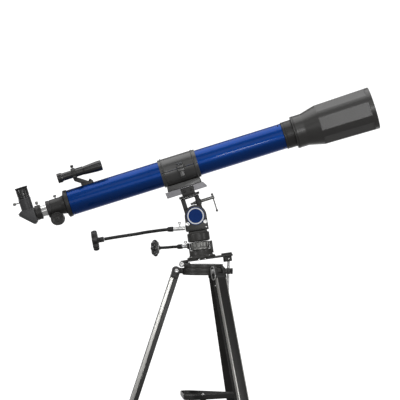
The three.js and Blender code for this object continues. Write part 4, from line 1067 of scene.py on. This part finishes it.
def upper_leg(side):
    """A black rail inside, a bright channel outside with a black strip let into its face."""
    low, high = -UPPER_END + 2, -24.3
    inner = prism("z", [(-12, -18), (1, -18), (1, -15.8), (-9.8, -15.8), (-9.8, 15.8), (1, 15.8),
                        (1, 18), (-12, 18)], low, high, soft=0.3, corner=0.8)
    groove = [block(-12.4, -11, y, y + 3, low, high, soft=0.3, corner=0.6) for y in (-12, 9)]
    outer = prism("z", [(1.5, -18), (11.8, -18), (11.8, 18), (1.5, 18), (1.5, 15.8), (9.8, 15.8),
                        (9.8, -15.8), (1.5, -15.8)], low, high, soft=0.3, corner=0.8)
    strip = block(11, 12.4, -14.5, 14.5, low, high, soft=0.3, corner=0.6)
    lug = prism("y", [(-12, -567), (-18, -566.5), (-23, -564), (-24.5, -560), (-23, -556), (-18, -553.5),
                      (-12, -553)], 6, 11, soft=0.8, corner=1.5)
    pin = rod("y", 2.4, -12, 12, (-ARM_INSET, 0, -ARM_ON_LEG), turns=24)
    body = f"leg_{side}"
    black, metal = leg_black(side), leg_metal(side)
    make(f"leg_rail_{side}", [inner] + groove, black, body, LEG[side], [f"leg_upper_{side}"],
         sharp=30)
    make(f"leg_channel_{side}", [outer], metal, body, LEG[side], sharp=30)
    make(f"leg_face_{side}", [strip], black, body, LEG[side], sharp=30)
    collar = box_ring(15, 21, 10, 15.9, -UPPER_END - 4, -UPPER_END + 26, soft=1.5, corner=4)
    boss = revolve("x", [(0, 13), (8, 13), (9, 14), (9, 15.2), (0, 15.2)], (0, 0, -UPPER_END + 11), turns=48)
    make(f"leg_collar_{side}", [collar, boss, lug, mirrored(lug)], textured_abs, body, LEG[side])
    rivets = [screw_head("x", 2.6, -1.4, -12.1, (0, 0, -45), 0.4)]
    make(f"leg_screws_{side}", rivets + [pin], bright_plate, body, LEG[side])


def leg_lock(side):
    at = (0, 0, -UPPER_END + 11)
    grip = revolve("x", [(0, 15.4), (8.5, 15.4), (10, 16.6), (11, 18.4), (11, 24), (10, 26), (7, 27),
                         (5.4, 26.2), (0, 26.2)], at, soft=1.0, turns=200, shape=lobes(5, 2.5, 1.3, 3))
    shank = rod("x", 3, 9.7, 16, at, turns=24)
    make(f"leg_lock_{side}_knob", [grip, shank], textured_abs, f"lock_{side}", LEG[side],
         [f"leg_lock_{side}"])


def lower_leg(side):
    profile = prism("z", [(-9.2, -15.2), (9.2, -15.2), (9.2, -4), (8.6, -3.4), (8.6, 3.4), (9.2, 4),
                          (9.2, 15.2), (-9.2, 15.2), (-9.2, 4), (-8.6, 3.4), (-8.6, -3.4), (-9.2, -4)],
                    -730, -290, soft=0.5, corner=1.2)
    make(f"lower_leg_{side}_profile", [profile], leg_metal(f"{side}"), f"lower_leg_{side}", LEG[side],
         [f"leg_lower_{side}"], sharp=30)


def foot(side):
    """A moulded cup on the leg's end with a ball below it, worn flat where it stands."""
    middle = -746.9
    angle = np.linspace(-90, 20, 16) * DEG
    ball_line = np.stack([13 * np.cos(angle), middle + 13 * np.sin(angle)], 1)
    ball_line[0, 0] = 0
    cup = [(13.6, -738.5), (15, -736.5), (17.5, -734), (17.5, -727), (16.6, -726), (0, -726)]
    points, faces = revolve("z", np.vstack([ball_line, cup]), soft=0.4, turns=72)
    origin, matrix = LEG[side]
    points = points @ matrix.T + origin
    points[:, 2] = np.maximum(points[:, 2], 0.0)
    make(f"foot_{side}_boot", [(points, faces)], rubber, f"lower_leg_{side}", stands_for=[f"foot_{side}"])
    sleeve = box_ring(12.2, 18.2, 9.3, 15.3, -728, -706, soft=1.2, corner=3)
    make(f"foot_{side}_cap", [sleeve], textured_abs, f"lower_leg_{side}", LEG[side])


def spreader_arm(side):
    """A pressed channel, open below, with round ends."""
    length = 242.0
    lip = [(-6, -4.5), (6, -4.5), (6, -3.3), (-4.8, -3.3), (-4.8, 3.3), (6, 3.3), (6, 4.5), (-6, 4.5)]
    channel = prism("z", [(x, y) for x, y in lip], 0.5, length - 0.5, soft=0.2, corner=0.6)
    ends = [ring("y", 3.0, 6, -4.5, 4.5, (0, 0, z), turns=40) for z in (0, length)]
    make(f"spreader_channel_{side}", [channel] + ends, black_paint, f"arm_{side}", ARM[side],
         [f"spreader_arm_{side}"], sharp=30)


def spreader():
    parts = [revolve("z", [(0, -9), (9, -9), (10, -8), (10, 21), (0, 21.8)], soft=0.8, turns=56)]
    pins = []
    for side in SIDES:
        turn = AZIMUTH[side] / DEG
        for y in (-10, 6):
            cheek = prism("y", [(2, -9), (30, -9), (38, -5), (38, 5), (30, 9), (2, 9)], y, y + 4, soft=0.8,
                          corner=4)
            parts.append(moved(cheek, turn, "z"))
        pins += [moved(part, turn, "z") for part in
                 (rod("y", 2.4, -11, 11, (31, 0, 0), turns=24), screw_head("y", 4, -2, -10, (31, 0, 0)),
                  screw_head("y", 4, 2, 10, (31, 0, 0)))]
    make("spreader_hub_plates", parts, black_paint, "spreader", HUB, ["spreader_hub"])
    make("spreader_pins", pins, bright_plate, "spreader", HUB)


def tray_line(inradius, corner, height, steps=14):
    """A rounded triangle whose corners point between the legs."""
    reach = 2 * (inradius - corner)
    line = []
    for side in SIDES:
        middle = AZIMUTH[side] + math.pi / 3
        angle = np.linspace(middle - math.pi / 3, middle + math.pi / 3, steps)
        line.append(np.stack([reach * math.cos(middle) + corner * np.cos(angle),
                              reach * math.sin(middle) + corner * np.sin(angle)], 1))
    order = np.argsort([AZIMUTH[s] % (2 * math.pi) for s in SIDES])
    line = np.vstack([line[i] for i in order])
    return np.column_stack([line, np.full(len(line), height)])


def accessory_tray():
    """One pressed dish: down the outside, up over a rolled rim, down the inside, across the floor."""
    layers = [(60, 18, 22.3), (63.5, 21.5, 22.3), (65.2, 23.2, 23.4), (66, 24, 25.5), (66, 24, 36.4),
              (66, 24, 37.5), (65.3, 23.3, 38), (63.9, 21.9, 38), (63.2, 21.2, 37.4), (63, 21, 36.2),
              (63, 21, 28.6), (62.4, 20.4, 26.8), (60.8, 18.8, 26)]
    points = np.stack([tray_line(*layer) for layer in layers])
    rows, columns = points.shape[:2]
    faces = grid_faces(rows, columns)
    faces += [list(range(columns))[::-1], list(range((rows - 1) * columns, rows * columns))]
    make("tray_pressing", [(points.reshape(-1, 3), faces)], black_paint, "spreader", HUB,
         ["accessory_tray"], sharp=50)
    nut = [rod("z", 9, 26, 27.4, turns=48), prism("z", hexagon(6), 27.2, 33, soft=0.8, corner=0.6),
           rod("z", 3, 27, 36, turns=24)]
    make("tray_centre_nut", nut, bright_plate, "spreader", HUB)


for build in (main_tube, baffles, objective_cell, dew_shield, focuser, drawtube, focus_knobs, diagonal,
              eyepiece, finder, finder_bracket, cradle, cradle_latch, saddle, yoke, clamp_screw,
              polar_base, setting_ring, polar_housing, declination_cover, cover_badge, polar_control,
              declination_control, tilt_plate, latitude_rod, latitude_clamp, azimuth_base, tripod_head,
              spreader, accessory_tray, leg_link):
    build()
for side in SIDES:
    for build in (leg_top, upper_leg, leg_lock, lower_leg, foot, spreader_arm):
        build(side)

# ---- floor, lights and camera --------------------------------------------------------------------


def picture(name, points, faces, dark, bright, start, end):
    """A stage mesh that glows from dark to bright along y, over a grey that takes shadows."""
    mesh = bpy.data.meshes.new(name)
    mesh.from_pydata(points, [], faces)
    mesh.polygons.foreach_set("use_smooth", np.ones(len(faces), bool))
    material = bpy.data.materials.new(name)
    material.use_nodes = True
    tree = material.node_tree
    shader = tree.nodes["Principled BSDF"]
    shader.inputs["Base Color"].default_value = linear("#8c8c8c")
    shader.inputs["Roughness"].default_value = 0.95
    shader.inputs["Specular IOR Level"].default_value = 0.1
    shader.inputs["Emission Color"].default_value = linear("#ffffff")
    where = add(tree, "ShaderNodeTexCoord")
    parts = add(tree, "ShaderNodeSeparateXYZ", {0: where.outputs["Object"]})
    glow = add(tree, "ShaderNodeMapRange", {"Value": parts.outputs["Y"], "From Min": start,
                                            "From Max": end, "To Min": dark, "To Max": bright},
               interpolation_type="SMOOTHSTEP")
    tree.links.new(glow.outputs[0], shader.inputs["Emission Strength"])
    mesh.materials.append(material)
    made = bpy.data.objects.new(name, mesh)
    bpy.context.scene.collection.objects.link(made)


def floor_and_wall():
    """A floor that brightens towards the back, and a glowing wall just wide enough for the view."""
    turn = np.linspace(0, math.pi / 2, 13)
    floor = [(-5.0, 0.0)] + [(y, 0.0) for y in np.linspace(-1, 3, 17)]
    wall = [(3.0 + 0.4 * math.sin(t), 0.4 * (1 - math.cos(t))) for t in turn] + [(3.4, 2.4)]
    for name, line, half in (("floor", floor, 5.0), ("wall", wall, 1.4)):
        count = len(line)
        points = [(x, y, z) for x in (-half, half) for y, z in line]
        faces = [(i, i + 1, count + i + 1, count + i) for i in range(count - 1)]
        picture(name, points, faces, 0.05, 1.0, 0.6, 2.2)


def light(name, position, target, size, radiance, colour="#ffffff"):
    """A rectangular soft light of even radiance at position, facing target, unseen by the camera."""
    data = bpy.data.lights.new(name, "AREA")
    data.shape = "RECTANGLE"
    data.size, data.size_y = size
    data.energy = radiance * math.pi * size[0] * size[1]
    data.color = linear(colour)[:3]
    lamp = bpy.data.objects.new(name, data)
    bpy.context.scene.collection.objects.link(lamp)
    lamp.location = position
    away = unit(np.array(position) - target)
    level = np.array([1.0, 0, 0]) if abs(away[2]) > 0.95 else np.cross(UP, away)
    lamp.rotation_euler = Matrix(axes(z=away, x=level).tolist()).to_euler()
    lamp.visible_camera = False


floor_and_wall()
MIDDLE = np.array([0.0, 0.0, 0.95])
light("overhead", (-0.3, 0.3, 3.3), MIDDLE, (4.2, 2.6), 1.7)
light("front_top", (0.0, -3.4, 3.2), MIDDLE, (4.0, 1.6), 0.9)
light("hood_front", (0.78, -5.0, 1.47), (0.45, 0, 1.25), (0.8, 0.5), 16.0)
light("front_fill", (0.0, -6.0, 0.8), MIDDLE, (5.0, 2.0), 1.0)
light("side_left", (-3.0, -1.8, 1.4), MIDDLE, (0.6, 1.8), 6.0)
light("side_right", (3.0, -1.8, 1.4), MIDDLE, (0.6, 1.8), 4.5)

world = bpy.data.worlds.new("dim room")
world.use_nodes = True
world.node_tree.nodes["Background"].inputs["Color"].default_value = linear("#ffffff")
world.node_tree.nodes["Background"].inputs["Strength"].default_value = 0.2
bpy.context.scene.world = world
bpy.context.scene.view_settings.view_transform = "Standard"

FOCAL_LENGTH, SENSOR_WIDTH = 206.1, 36  # millimetres
CAMERA_AT, CAMERA_REACH = (0.0111, -7.11, 0.9396), 40  # metres
camera_data = bpy.data.cameras.new("camera")
camera_data.lens, camera_data.sensor_width = FOCAL_LENGTH, SENSOR_WIDTH
camera_data.clip_end = CAMERA_REACH
camera = bpy.data.objects.new("camera", camera_data)
camera.location = CAMERA_AT
camera.rotation_euler = (math.pi / 2, 0, 0)
bpy.context.scene.collection.objects.link(camera)
bpy.context.scene.camera = camera
